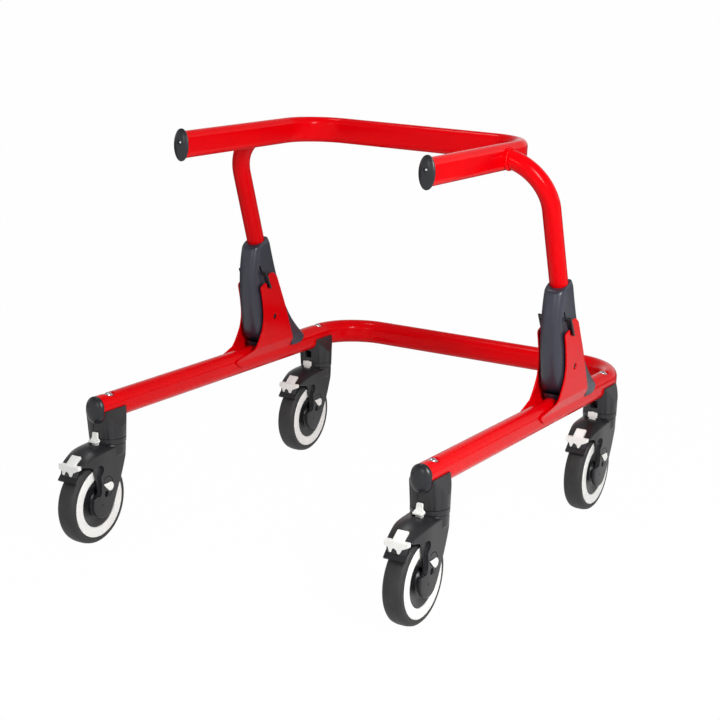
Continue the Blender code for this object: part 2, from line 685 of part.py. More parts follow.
def selector_mesh():
    """Teardrop lever about its pivot on the flank of the fork, with a pin into the arm."""
    tangent = math.acos(SELECTOR_R / SELECTOR_TIP)
    aim = math.radians(SELECTOR_AIM)
    turns = [aim + tangent + (2 * math.pi - 2 * tangent) * k / 12 for k in range(13)]
    outline = [(SELECTOR_R * math.cos(t), SELECTOR_R * math.sin(t)) for t in turns]
    outline.append((SELECTOR_TIP * math.cos(aim), SELECTOR_TIP * math.sin(aim)))
    face = FORK_WIDE / 2 + GAP
    lever = prism(outline, face, face + SELECTOR_THICK, "lever")
    pin = rod(SELECTOR_PIN_R, face - SELECTOR_PIN, face + SELECTOR_THICK / 2, "pin", 12, "X")
    return combined(lever, [("UNION", pin)], "selector")


def lock_tab_mesh(raised):
    """Direction-lock slider about the collar's top: a tongue and ledge, or a plain block."""
    if raised:
        outline = [(-TAB_SHANK_WIDE / 2, -7.0), (TAB_SHANK_WIDE / 2, -7.0), (TAB_SHANK_WIDE / 2, 4.0),
                   (TAB_BLOCK_WIDE / 2, 4.0), (TAB_BLOCK_WIDE / 2, 7.0), (4.4, 10.5), (4.3, 18.3),
                   (-4.3, 18.3), (-5.2, 10.5), (-TAB_BLOCK_WIDE / 2, 7.0), (-TAB_BLOCK_WIDE / 2, 4.0),
                   (-TAB_SHANK_WIDE / 2, 4.0)]
    else:
        outline = [(-TAB_SHANK_WIDE / 2, -13.0), (TAB_SHANK_WIDE / 2, -13.0), (TAB_SHANK_WIDE / 2, 2.5),
                   (TAB_BLOCK_WIDE / 2, 2.5), (TAB_BLOCK_WIDE / 2, 10.6), (1.5, 11.2), (-0.5, 12.0),
                   (-2.5, 11.2), (-TAB_BLOCK_WIDE / 2, 11.0), (-TAB_BLOCK_WIDE / 2, 2.5),
                   (-TAB_SHANK_WIDE / 2, 2.5)]
    rings = [[(x, y, COLLAR_Z + z) for x, z in outline] for y in (TAB_Y - TAB_THICK, TAB_Y)]
    plate = loft(rings, "lock_tab")
    if not raised:
        return plate
    ledge = box((-TAB_BLOCK_WIDE / 2 + 0.2, TAB_Y - TAB_THICK - TAB_LEDGE, COLLAR_Z + TAB_LEDGE_UP),
                (TAB_BLOCK_WIDE / 2 - 0.2, TAB_Y - 1, COLLAR_Z + TAB_LEDGE_UP + 2.6), "ledge")
    return combined(plate, [("UNION", ledge)], "lock_tab")


# Side plates and the pivot

def between(table, at):
    """A value read off a table of (place, value) by straight lines, held at its ends."""
    for (a, low), (b, high) in zip(table, table[1:]):
        if at <= b:
            return low + (high - low) * max(0.0, at - a) / (b - a)
    return table[-1][1]


def plate_in(z):
    """Inner face of a side plate beyond the rail's centre, at a height about the pivot."""
    flange = RAIL_WIDE / 2 + GAP
    share = (z - PLATE_FLANGE) / (PLATE_FOLD - PLATE_FLANGE)
    return flange + (PLATE_IN - flange) * min(1.0, max(0.0, share))


def plate_outline():
    """Outline of a side plate about the pivot, with the notch for the catch."""
    front = smooth([(-42.0, 47.5), (-36.4, 27.4), (-32.9, 5.0), (-34.9, -12.0), (-40.4, -24.6),
                    (-53.9, -43.6), (-68.0, -48.9), (-98.0, -56.6), (-100.9, -62.1)], 2)
    rest = rounded([(-89.0, -70.0, 0), (38.0, -71.1, 0), (50.1, -64.1, 0), (55.1, -58.6, 0),
                    (58.1, -46.6, 4), (28.6, 18.4, 60), (2.1, 67.9, 5), (-8.9, 74.9, 5),
                    (-20.9, 74.4, 3.5), (-22.6, 67.9, 0), (-16.4, 52.0, 3), (-23.7, 50.0, 3),
                    (-29.9, 60.8, 2), (-45.2, 55.2, 5), (-42.0, 47.5, 0)])
    return front[:-1] + rest[:-1]


def plate_mesh(side):
    """Folded side plate: flat above the fold, then in to the rail's flank."""
    bm = bmesh.new()
    bm.from_mesh(prism(plate_outline(), 0, PLATE_THICK, "plate"))
    bmesh.ops.scale(bm, vec=(1 / MM, 1 / MM, 1 / MM), verts=bm.verts)
    bmesh.ops.triangulate(bm, faces=bm.faces, quad_method="BEAUTY", ngon_method="EAR_CLIP")
    for height in (PLATE_FOLD, PLATE_FLANGE):
        everything = list(bm.verts) + list(bm.edges) + list(bm.faces)
        bmesh.ops.bisect_plane(bm, geom=everything, dist=0.001, plane_co=(0, 0, height), plane_no=(0, 0, 1))
    for vert in bm.verts:
        vert.co.x = side * (vert.co.x + plate_in(vert.co.z))
    plate = to_mesh(bm, "plate")
    hole = rod(PIVOT_HEAD_R + GAP, -FORK_WIDE, FORK_WIDE, "hole", 20, "X")
    return combined(plate, [("DIFFERENCE", hole)], "plate")


def pivot_bolt_mesh():
    """Pivot bolt through both plates of a rail, its two heads sunk in the plates."""
    out, head = PLATE_IN + PLATE_THICK + GAP, PLATE_IN - GAP
    profile = [(0, -out), (PIVOT_HEAD_R, -out), (PIVOT_HEAD_R, -head), (PIVOT_BOLT_R, -head),
               (PIVOT_BOLT_R, head), (PIVOT_HEAD_R, head), (PIVOT_HEAD_R, out), (0, out)]
    return turned(profile, "pivot_bolt", 20, "X")


def nose_points(front):
    """Half of the rounded front of a plan section, from the middle outwards."""
    turns = [math.radians(a) for a in (0, 20, 40, 58)]
    half = [(HOUSING_NOSE_R * math.sin(a), front + HOUSING_NOSE_R * (1 - math.cos(a))) for a in turns]
    return half + [(HOUSING_FLAT, front + 13.0)]


def both_halves(half, z):
    """A closed ring at one height from its right half."""
    ring = half + [(-x, y) for x, y in reversed(half) if x > 0]
    return [(x, y, z) for x, y in ring]


def seat_ring(z, front):
    """Plan section of the seat: the housing's nose and flat sides."""
    return both_halves(nose_points(front) + [(HOUSING_FLAT, SEAT_REAR), (0, SEAT_REAR)], z)


def front_radius(turn):
    """Distance from the pivot to the leg's front, at an angle in degrees above the horizontal."""
    profile = [(math.degrees(math.atan2(z, -y)), math.hypot(y, z)) for z, y, _ in housing_levels()]
    return max(FOOT_ARC_R, between([(a, r) for a, r in profile if a > FOOT_CORNER], turn))


def swept_front():
    """Side view of the room that the front of the leg's foot passes through as it folds.

    At each angle the radius is the largest that the front has from there up to the angle
    that folds down to it, and the room's other corner is the pivot.
    """
    points = [(0, 0)]
    for turn in range(-90, -30, 3):
        reach = max(front_radius(turn + fold) for fold in range(0, FOLD_RANGE + 1, 5)) + 2 * GAP
        points.append((-reach * math.cos(math.radians(turn)), reach * math.sin(math.radians(turn))))
    return points


def leg_seat_mesh():
    """Block on the rail that carries on the front of the leg's foot down to the rail."""
    levels = [(RAIL_BELOW - SEAT_DEEP, -28.2), (-43.6, -32.9), (-33.0, -36.6)]
    block = loft([seat_ring(z, front) for z, front in levels], "leg_seat")
    sweep = prism(swept_front(), -FORK_WIDE, FORK_WIDE, "sweep")
    rail = moved(rail_clearance(), (-TRACK / 2, -PIVOT_Y, -PIVOT_Z))
    return combined(block, [("DIFFERENCE", sweep), ("DIFFERENCE", rail)], "leg_seat")


# Legs and handlebar, about the pivot

def on_post(along, back=0.0):
    """A point at a distance along the post axis and behind it, about the pivot."""
    foot = POST_BACK * (POST_OFFSET + back)
    return foot + POST_DIR * along


def post_turn():
    """Turn that lays a Z-axis shape along the post."""
    return Matrix.Rotation(math.radians(POST_LEAN), 3, "X")


def housing_levels():
    """Height, front and rear of the leg housing about the pivot, from its foot to its top."""
    fronts = [(-46.0, -28.9), (-43.6, -32.9), (-26.6, -37.9), (2.4, -46.9), (39.4, -53.9), (78.4, -56.9),
              (101.4, -54.4), (115.4, -51.9), (150.0, -45.0)]
    rears = [(-46.0, 98.0), (-33.6, 84.1), (1.4, 50.1), (40.4, 25.1), (71.4, 12.1), (121.4, -7.9),
             (150.0, -19.0)]
    heights = [-46.0, -33.6, -26.6, -12.0, 2.4, 20.0, 39.4, 58.0, 78.4, 101.4, 121.4, 150.0]
    return [(z, between(fronts, z), between(rears, z)) for z in heights]


def housing_ring(z, front, rear):
    """Plan section of the housing: a round nose, flat sides that flare between the plates."""
    low, high = 39.4, 71.4
    share = min(1.0, max(0.0, (high - z) / (high - low)))
    wide = HOUSING_FLAT + (FLARE - HOUSING_FLAT) * share
    rest = [(wide, front + 18.0), (wide, rear - 6.0), (wide - 2, rear - 2), (wide - 6, rear)]
    return both_halves(nose_points(front) + rest, z)


def heel_ring(z, rear):
    """Plan section of the heel: square in front, rounded behind."""
    wide = FLARE - 0.3
    half = [(0, HEEL_FRONT), (wide, HEEL_FRONT), (wide, rear - 13), (wide - 2.5, rear - 6),
            (wide - 7.5, rear - 1), (0, rear)]
    return both_halves(half, z)


def leg_housing_mesh():
    """Plastic leg housing about the pivot: bore for the post, catch slot, heel on the rail."""
    body = loft([housing_ring(*level) for level in housing_levels()], "leg_housing")
    reach = 80.0
    lid = moved(box((-reach, -reach, 0), (reach, reach, reach), "lid"), on_post(HOUSING_TOP), post_turn())
    chamfers = [("DIFFERENCE", lid)]
    for sign in (-1, 1):
        tilt = post_turn() @ Matrix.Rotation(math.radians(45 * sign), 3, "X")
        edge = on_post(HOUSING_TOP - HOUSING_TOP_CHAMFER, sign * -HOUSING_NOSE_R)
        wedge = box((-reach, -reach, 0), (reach, reach, reach), "wedge")
        chamfers.append(("DIFFERENCE", moved(wedge, edge, tilt)))
    levels = [(13.0, 18.0), (11.8, 11.0), (8.4, 2.5), (1.9, 0.0), (-2.2, 3.6)]
    heel = loft([heel_ring(RAIL_BELOW - drop, HEEL_REAR - short) for drop, short in levels], "heel")
    foot = box((-reach, -FOOT_ARC_R * 1.5, -FOOT_ARC_R * 1.5), (reach, -8, -20), "foot")
    keep = rod(FOOT_ARC_R, -reach - 1, reach + 1, "keep", 48, "X")
    corner = combined(foot, [("DIFFERENCE", keep)], "corner")
    bore = moved(rod(POST_R + GAP, BORE_FLOOR, HOUSING_TOP + 30, "bore", 24), on_post(0), post_turn())
    slot_from = CATCH_BAR_FROM - GAP
    slot_to = CATCH_BAR_FROM + CATCH_BAR_WIDE + CATCH_TRAVEL + GAP
    slot = catch_strip(slot_from, slot_to, -CATCH_THICK / 2 - GAP, CATCH_THICK / 2 + GAP, -reach, reach)
    screw = moved(rod(CLAMP_R + GAP, 0, 60, "screw_hole", 12, "Y"), on_post(CLAMP_UP), post_turn())
    rail = moved(rail_clearance(), (-TRACK / 2, -PIVOT_Y, -PIVOT_Z))
    pivot = rod(PIVOT_BOLT_R + GAP, -reach, reach, "pivot_hole", 16, "X")
    cuts = [corner, bore, slot, screw, rail, pivot]
    steps = chamfers + [("UNION", heel)] + [("DIFFERENCE", cut) for cut in cuts]
    return combined(body, steps, "leg_housing")


def catch_strip(start, end, front, back, low, high):
    """A strip along the catch's slanted line, from x = low to x = high."""
    foot = Vector((0, CATCH_FOOT_Y, CATCH_FOOT_Z))
    corners = [(start, front), (start, back), (end, back), (end, front)]
    points = [foot + CATCH_DIR * a + CATCH_BACK * b for a, b in corners]
    return prism([(p.y, p.z) for p in points], low, high, "catch_strip")


def catch_mesh():
    """Catch about the pivot: a bar through the housing and a tongue outside each plate."""
    inner = PLATE_IN + PLATE_THICK + 2 * GAP
    outer = inner + CATCH_TONGUE
    half = CATCH_THICK / 2
    bar = catch_strip(CATCH_BAR_FROM, CATCH_BAR_FROM + CATCH_BAR_WIDE, -half + 0.05, half - 0.05,
                      0.2 - outer, outer - 0.2)
    long = catch_strip(0, CATCH_LONG, -half, half, inner, outer)
    short = catch_strip(0, CATCH_BAR_FROM + CATCH_BAR_WIDE + 0.5, -half, half, -outer, -inner)
    return combined(bar, [("UNION", long), ("UNION", short)], "leg_catch")


def clamp_screw_mesh():
    """Socket screw square to the post, through the back of the housing."""
    tip, seat = POST_R + 2 * GAP, POST_R + CLAMP_SHANK
    profile = [(0, tip), (CLAMP_R, tip), (CLAMP_R, seat), (CLAMP_HEAD_R, seat),
               (CLAMP_HEAD_R, seat + CLAMP_HEAD), (CLAMP_R, seat + CLAMP_HEAD),
               (CLAMP_R * 0.8, seat + CLAMP_HEAD * 0.4), (0, seat + CLAMP_HEAD * 0.4)]
    return moved(turned(profile, "clamp_screw", 12, "Y"), on_post(CLAMP_UP), post_turn())


def handle_path():
    """Centre line of the handlebar about the pivot, in the plane of its height."""
    x = HANDLE_HALF
    corners = [(-x, -HANDLE_REACH), (-x, HANDLE_CROSS), (x, HANDLE_CROSS), (x, -HANDLE_REACH)]
    return bent([Vector((a, b, HANDLE_RISE)) for a, b in corners], HANDLE_BEND)


def post_path(side):
    """Centre line of a post about the pivot, from its foot up and inwards to the handlebar."""
    foot = on_post(POST_FOOT)
    top = on_post((POST_END_RISE - on_post(0).z) / POST_DIR.z)
    across = Vector((side * TRACK / 2, 0, 0))
    inward = Vector((-side * (POST_BEND + 5), 0, 0))
    return bent([foot + across, top + across, top + across + inward], POST_BEND, BEND_STEPS + 2)


def weld_bead(side):
    """Bead round the end of a post, on the handlebar's outer flank."""
    flank = HANDLE_HALF + HANDLE_WIDE / 2
    inset = TRACK / 2 - POST_BEND - flank
    rise = POST_END_RISE - POST_BEND + math.sqrt(POST_BEND ** 2 - inset ** 2)
    centre = on_post((rise - on_post(0).z) / POST_DIR.z)
    bead = turned([(POST_R - POST_WALL / 2, flank - 1.2), (POST_R + WELD, flank - 1.2),
                   (POST_R + WELD * 0.9, flank + 0.8), (POST_R + 0.6, flank + WELD),
                   (POST_R - POST_WALL / 2, flank + WELD)], "bead", ROUND, "X")
    turn = Matrix.Rotation(math.pi, 3, "Z") if side < 0 else None
    return moved(bead, (0, centre.y, centre.z), turn)


def handle_frame_mesh():
    """Handlebar with the two posts welded to its outer flanks."""
    outer = flat_oval(HANDLE_WIDE, HANDLE_TALL)
    inner = flat_oval(HANDLE_WIDE - 2 * HANDLE_WALL, HANDLE_TALL - 2 * HANDLE_WALL)
    bar = swept(handle_path(), outer, Vector((0, 0, 1)), "handlebar", inner)
    reach = HANDLE_HALF + HANDLE_WIDE / 2 - HANDLE_WALL / 2
    inside = box((-reach, -HANDLE_REACH, 0), (reach, HANDLE_REACH, 2 * HANDLE_RISE), "inside")
    steps = []
    for side in (-1, 1):
        path = post_path(side)
        normal = path[0][1].cross(path[-1][1]).normalized()
        post = swept(path, circle(POST_R), normal, "post", circle(POST_R - POST_WALL))
        steps.append(("UNION", combined(post, [("DIFFERENCE", inside)], "post")))
        steps.append(("UNION", weld_bead(side)))
    return combined(bar, steps, "handle_frame")


def handle_cap_mesh():
    """Oval end cap of a side tube, its plug inside the tube."""
    slack = HANDLE_WALL + GAP
    plug = flat_oval(HANDLE_WIDE - 2 * slack, HANDLE_TALL - 2 * slack)
    flange = ellipse(HANDLE_CAP_WIDE, HANDLE_CAP_TALL, len(plug))
    return loft(cap_rings(plug, flange, -GAP, HANDLE_CAP_DOME), "handle_cap")


# Assembly

def build_base():
    """Root body: rail, caps, plates, seats, pivot bolts, caster housings and their bolts."""
    piece("base_frame", base_frame_mesh(), "red_paint")
    cap = base_cap_mesh()
    seat = leg_seat_mesh()
    bolt = pivot_bolt_mesh()
    plates = {side: plate_mesh(side) for side in (-1, 1)}
    for name, sign in SIDES.items():
        x = sign * TRACK / 2
        piece(f"base_cap_{name}", cap, "grey_plastic", (x, NOSE_Y, RAIL_Z))
        piece(f"leg_seat_{name}", seat, "grey_plastic", (x, PIVOT_Y, PIVOT_Z))
        piece(f"pivot_bolt_{name}", bolt, "zinc", (x, PIVOT_Y, PIVOT_Z))
        for which, side in (("outer", sign), ("inner", -sign)):
            piece(f"side_plate_{name}_{which}", plates[side], "red_paint", (x, PIVOT_Y, PIVOT_Z))
    bolt = bolt_mesh()
    housings = {False: caster_housing_mesh(False), True: caster_housing_mesh(True)}
    mirrored = {rear: mirror(mesh) for rear, mesh in housings.items()}
    for name, (sign, y) in CORNERS.items():
        meshes = mirrored if sign < 0 else housings
        piece(f"caster_housing_{name}", meshes[y == REAR_Y], "black_plastic",
              (sign * TRACK / 2, y, HOUSING_Z))
        piece(f"caster_bolt_{name}", bolt, "zinc", (sign * TRACK / 2, y, RAIL_TOP - BOLT_SINK))


def mirror(mesh):
    """A copy of a mesh mirrored left to right, its faces still pointing out."""
    copy = mesh.copy()
    copy.transform(Matrix.Scale(-1, 4, Vector((1, 0, 0))))
    copy.flip_normals()
    return copy


def build_casters():
    """Four identical casters, each under an empty on its swivel axis."""
    fork, tyre, rim = fork_mesh(), tyre_mesh(), wheel_rim_mesh()
    hub, axle, pedal, selector = wheel_hub_mesh(), axle_mesh(), pedal_mesh(), selector_mesh()
    tabs = {raised: lock_tab_mesh(raised) for raised in (True, False)}
    for name, (sign, y) in CORNERS.items():
        swivel = empty(f"swivel_{name}", (sign * TRACK / 2, y, 0))
        spin = empty(f"spin_{name}", (0, -TRAIL, WHEEL_R), swivel)
        piece(f"fork_{name}", fork, "black_plastic", parent=swivel)
        piece(f"lock_tab_{name}", tabs[y == FRONT_Y], "white_plastic", parent=swivel)
        piece(f"axle_{name}", axle, "zinc", (0, -TRAIL, WHEEL_R), swivel)
        piece(f"brake_pedal_{name}", pedal, "white_plastic", (0, PEDAL_Y, PEDAL_Z), swivel)
        piece(f"selector_{name}", selector, "white_plastic", (0, SELECTOR_Y, SELECTOR_Z), swivel)
        piece(f"tyre_{name}", tyre, "black_rubber", parent=spin)
        piece(f"wheel_rim_{name}", rim, "white_plastic", parent=spin)
        piece(f"wheel_hub_{name}", hub, "grey_plastic", parent=spin)


def build_legs():
    """The folding legs under an empty on the pivot line, and the handlebar that they carry."""
    fold = empty("fold", (0, PIVOT_Y, PIVOT_Z))
    housing, catch, screw = leg_housing_mesh(), catch_mesh(), clamp_screw_mesh()
    cap = handle_cap_mesh()
    piece("handle_frame", handle_frame_mesh(), "red_paint", parent=fold)
    for name, sign in SIDES.items():
        place = (sign * TRACK / 2, 0, 0)
        piece(f"leg_housing_{name}", housing, "grey_plastic", place, fold)
        piece(f"leg_catch_{name}", catch, "black_plastic", place, fold)
        piece(f"clamp_screw_{name}", screw, "black_steel", place, fold)
        piece(f"handle_cap_{name}", cap, "grey_plastic", (sign * HANDLE_HALF, -HANDLE_REACH, HANDLE_RISE), fold)


clear_scene()
build_base()
build_casters()
build_legs()
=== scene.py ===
# %% [markdown]
# # A child's walking frame in red tube
# The real object is a bent and welded steel frame with moulded plastic legs and four
# braked casters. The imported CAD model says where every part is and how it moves, but its
# parts have few faces. This lesson loads it as a fixed frame and sets a finer surface, with
# a finish worked out from the real material, in the place of each part that shows.

# %% Load the CAD frame
import math

import bmesh
import bpy
import numpy as np
from mathutils import Matrix, Vector
from mathutils.geometry import delaunay_2d_cdt


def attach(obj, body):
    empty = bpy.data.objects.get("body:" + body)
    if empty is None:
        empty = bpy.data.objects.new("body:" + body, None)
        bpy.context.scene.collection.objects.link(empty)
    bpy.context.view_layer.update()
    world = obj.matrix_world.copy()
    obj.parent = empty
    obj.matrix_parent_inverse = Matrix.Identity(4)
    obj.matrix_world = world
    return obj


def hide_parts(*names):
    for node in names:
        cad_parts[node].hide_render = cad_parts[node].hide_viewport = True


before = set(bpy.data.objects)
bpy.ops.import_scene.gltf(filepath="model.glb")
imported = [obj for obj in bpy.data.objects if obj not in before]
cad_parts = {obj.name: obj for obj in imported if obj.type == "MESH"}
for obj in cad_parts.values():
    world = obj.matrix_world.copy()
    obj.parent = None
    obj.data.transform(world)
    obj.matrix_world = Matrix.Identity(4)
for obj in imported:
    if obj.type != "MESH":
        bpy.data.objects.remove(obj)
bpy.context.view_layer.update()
MM = 0.001                     # lengths below are in millimetres
MERGE = 0.002                  # points closer than this are one point

# %% [markdown]
# ## Sizes
# The walking frame is planned from a few sizes: the track between its rails, its wheelbase
# and its wheels. The places of all the other parts follow from them, so they are worked
# out here once, in the same frame as the CAD: the floor is at z = 0, and the open front of
# the frame looks towards -Y.

# %% Sizes of the walking frame
TRACK, WHEELBASE = 530.0, 580.0
WHEEL_R, TRAIL = 62.5, 37.8
RAIL_WIDE, RAIL_TALL, RAIL_BEND, WALL = 30.0, 39.0, 80.0, 2.0
COLLAR_Z, HOUSING_Z, RAIL_Z = 144.7, 145.0, 196.4
RAIL_TOP = RAIL_Z + RAIL_TALL / 2
FRONT_Y = -291.1
REAR_Y = FRONT_Y + WHEELBASE
NOSE_Y, CROSS_Y = FRONT_Y - 27.2, REAR_Y + 87.5
PIVOT_Y, PIVOT_Z = REAR_Y - 172.2, RAIL_TOP + 46.7
FORK_HALF, FORK_ARM = 24.0, 6.5
WELL_R = WHEEL_R + 3.0
POST_R, POST_BEND, POST_OFFSET = 13.9, 78.0, 19.2
POST_LEAN = math.radians(21.2)
POST_DIR = np.array([0, -math.sin(POST_LEAN), math.cos(POST_LEAN)])
POST_BACK = np.array([0, math.cos(POST_LEAN), math.sin(POST_LEAN)])
SIDES = {"left": -1, "right": 1}
CORNERS = {"front_left": (-1, FRONT_Y), "front_right": (1, FRONT_Y),
           "rear_left": (-1, REAR_Y), "rear_right": (1, REAR_Y)}
print("rail centre at z =", RAIL_Z, "pivot at y, z =", PIVOT_Y, PIVOT_Z)

# %% [markdown]
# ## From numbers to surfaces
# A grid of points whose columns run round a part is the simplest closed surface there is:
# neighbouring points make a face, and a fan of triangles closes each end. Tubes, wheels and
# housings are all such grids. A flat pressing has no natural grid, so its outline is filled
# with triangles instead, and only its rounded edge is a grid.

# %% Grids and meshes


def strip(grid, ring=False):
    """Quads over a grid: point (i, j) joins (i, j + 1), (i + 1, j + 1) and (i + 1, j)."""
    rows, cols = grid.shape[:2]
    i = np.arange(rows if ring else rows - 1)[:, None] * cols
    j = np.arange(cols)[None]
    ahead, below = (j + 1) % cols, (i + cols) % (rows * cols)
    return np.stack([i + j, i + ahead, below + ahead, below + j], -1).reshape(-1, 4).tolist()


def skin(grid, ring=False):
    """Points and faces of a grid whose columns meet. Without ring, fans close both ends."""
    rows, cols = grid.shape[:2]
    points, faces = grid.reshape(-1, 3), strip(grid, ring)
    if ring:
        return points, faces
    j = np.arange(cols)
    ahead, last = (j + 1) % cols, (rows - 1) * cols
    start, end = np.full(cols, rows * cols), np.full(cols, rows * cols + 1)
    faces += np.stack([ahead, j, start], -1).tolist()
    faces += np.stack([last + j, last + ahead, end], -1).tolist()
    return np.vstack([points, grid[0].mean(0), grid[-1].mean(0)]), faces


def mesh_of(name, *shells, sharp=38):
    """One mesh in metres from shells in millimetres, doubles merged and faces outwards."""
    bm = bmesh.new()
    for points, faces in shells:
        part = bpy.data.meshes.new("shell")
        part.from_pydata(np.asarray(points, float) * MM, [], faces)
        bm.from_mesh(part)
        bpy.data.meshes.remove(part)
    bmesh.ops.remove_doubles(bm, verts=bm.verts, dist=MERGE * MM)
    bmesh.ops.recalc_face_normals(bm, faces=bm.faces)
    mesh = bpy.data.meshes.new(name)
    bm.to_mesh(mesh)
    bm.free()
    return shaded(mesh, sharp)


def shaded(mesh, sharp=38):
    """Smooth shading that stops at edges sharper than an angle in degrees."""
    mesh.shade_smooth()
    mesh.set_sharp_from_angle(angle=math.radians(sharp))
    return mesh


def put(name, data):
    """A new object in the scene."""
    item = bpy.data.objects.new(name, data)
    bpy.context.scene.collection.objects.link(item)
    return item


def changed(mesh, *steps, sharp=38):
    """The mesh that is left after modifiers, each a kind, an optional tool mesh and settings."""
    objects = [put("work", mesh)]
    for kind, tool, settings in steps:
        modifier = objects[0].modifiers.new(kind, kind)
        for key, value in settings.items():
            setattr(modifier, key, value)
        if tool is not None:
            objects.append(put("tool", tool))
            modifier.object = objects[-1]
    graph = bpy.context.evaluated_depsgraph_get()
    result = bpy.data.meshes.new_from_object(objects[0].evaluated_get(graph), depsgraph=graph)
    for item in objects:
        bpy.data.objects.remove(item, do_unlink=True)
    result.name = mesh.name
    return shaded(result, sharp)


def cut(tool):
    """A Boolean step that takes a tool mesh away."""
    return ("BOOLEAN", tool, {"operation": "DIFFERENCE", "solver": "EXACT"})


def fused(voxel, rounds):
    """Steps that melt overlapping shells into one skin and soften it, as a moulding is."""
    melt = {"mode": "VOXEL", "voxel_size": voxel * MM, "use_smooth_shade": True}
    return [("REMESH", None, melt), ("SMOOTH", None, {"factor": 0.5, "iterations": rounds})]


# %% Profiles, paths and outlines
NO_TURN, NEARLY_STRAIGHT = 1e-4, 1.55  # a bend, and half a corner, that get no arc


def unit(vectors):
    """Vectors divided by their lengths."""
    return vectors / np.linalg.norm(vectors, axis=-1, keepdims=True)


def full_turn(count):
    """Angles evenly round a circle."""
    return np.linspace(0, 2 * math.pi, count, endpoint=False)


def flat_oval(wide, tall, half=40):
    """Two half circles as wide as the tube, set apart by its flat sides."""
    turn = np.linspace(0, math.pi, half)
    arc = np.stack([wide / 2 * np.cos(turn), (tall - wide) / 2 + wide / 2 * np.sin(turn)], -1)
    return np.vstack([arc, -arc])


def ellipse(wide, tall, count=64):
    """Points of an ellipse."""
    turn = full_turn(count)
    return np.stack([wide / 2 * np.cos(turn), tall / 2 * np.sin(turn)], -1)


def bent_path(corners, radius, arc):
    """Straight runs whose corners become arcs of one radius, as places and directions.

    An arc starts radius * tan(half the turn) before its corner, and its points lie at
    centre - radius * cos(a) * inward + radius * sin(a) * the direction of arrival.
    """
    corners = np.asarray(corners, float)
    runs = unit(np.diff(corners, axis=0))
    places, along = [corners[:1]], [runs[:1]]
    for here, before, after in zip(corners[1:-1], runs[:-1], runs[1:]):
        turn = math.acos(min(1.0, float(before @ after)))
        if turn < NO_TURN:
            places.append(here[None])
            along.append(before[None])
            continue
        inward = unit(after - before * (before @ after))
        centre = here - before * radius * math.tan(turn / 2) + inward * radius
        a = np.linspace(0, turn, arc)[:, None]
        places.append(centre + radius * (np.sin(a) * before - np.cos(a) * inward))
        along.append(np.cos(a) * before + np.sin(a) * inward)
    return np.vstack(places + [corners[-1:]]), np.vstack(along + [runs[-1:]])


def carry(path, section, up):
    """A section of (u, v) points carried along a path: place + u * across + v * up."""
    places, along = path
    across = unit(np.cross(along, up))
    u, v = section[None, :, :1], section[None, :, 1:]
    return places[:, None] + across[:, None] * u + np.asarray(up) * v


def hollow(outer, inner):
    """A tube's outer grid, and the inner one run back inside it, as one closed ring."""
    return skin(np.vstack([outer, inner[::-1]]), ring=True)


def upright(rings):
    """A closed skin through rings, each a section of (x, z) points at its y."""
    return skin(np.stack([np.column_stack([s[:, 0], np.full(len(s), y), s[:, 1]])
                          for s, y in rings]))


def turned(profile, centre=(0, 0, 0), axis="Z", sides=72, ring=False):
    """A profile of (radius, along) points turned round an axis: a full circle of columns."""
    radius, along = np.asarray(profile, float).T
    turn = full_turn(sides)
    grid = np.stack([radius[:, None] * np.cos(turn), radius[:, None] * np.sin(turn),
                     along[:, None] + 0 * turn], -1)
    order = {"X": [2, 0, 1], "Y": [1, 2, 0], "Z": [0, 1, 2]}[axis]
    return skin(grid[..., order] + np.asarray(centre, float), ring)


def rod(radius, low, high, centre=(0, 0, 0), axis="Z", sides=32):
    """A plain cylinder from low to high along its axis."""
    return turned([(0, low), (radius, low), (radius, high), (0, high)], centre, axis, sides)


def rounded(corners, steps=5):
    """A closed outline whose corners (u, v, radius) become arcs inside them.

    An arc's centre lies on the bisector, radius / sin(half the corner) from the corner.
    """
    corners = np.asarray(corners, float)
    outline = []
    neighbours = zip(np.roll(corners, 1, 0), corners, np.roll(corners, -1, 0))
    for before, (u, v, radius), after in neighbours:
        here = np.array([u, v])
        one, two = unit(before[:2] - here), unit(after[:2] - here)
        half = math.acos(max(-1.0, min(1.0, float(one @ two)))) / 2
        if radius == 0 or half > NEARLY_STRAIGHT:
            outline.append(here[None])
            continue
        centre = here + unit(one + two) * radius / math.sin(half)
        ends = here + np.array([one, two]) * radius / math.tan(half) - centre
        start, end = np.arctan2(ends[:, 1], ends[:, 0])
        swing = (end - start + math.pi) % (2 * math.pi) - math.pi
        a = start + swing * np.linspace(0, 1, steps + 1)
        outline.append(centre + radius * np.stack([np.cos(a), np.sin(a)], -1))
    return np.vstack(outline)


def curve(points, steps=6):
    """A smooth (Catmull-Rom) curve through points, ends included: a cubic between each two."""
    p = np.asarray(points, float)
    a, b, c, d = (np.vstack([p[:1], p, p[-1:]])[k:len(p) - 1 + k] for k in range(4))
    t = (np.arange(steps) / steps)[None, :, None]
    a, b, c, d = a[:, None], b[:, None], c[:, None], d[:, None]
    line = b + ((c - a) * t + (2 * a - 5 * b + 4 * c - d) * t ** 2
                + (3 * b - a - 3 * c + d) * t ** 3) / 2
    return np.vstack([line.reshape(-1, p.shape[1]), p[-1:]])


# %% Flat pressings
LATTICE, CLEAR = 4.0, 1.0      # spacing of the extra points, and their distance from an edge
EDGE_STEPS, TUCK = 4, 0.35     # rings of a rounded edge, and a first one inside the face


def inset(outline, distance):
    """A counterclockwise outline moved inwards along the bisector at each point."""
    edges = unit(np.roll(outline, -1, 0) - outline)
    normals = np.stack([-edges[:, 1], edges[:, 0]], -1)
    bisector = unit(normals + np.roll(normals, 1, 0))
    stretch = np.clip((bisector * normals).sum(1, keepdims=True), 0.5, 1)
    return outline + bisector * distance / stretch


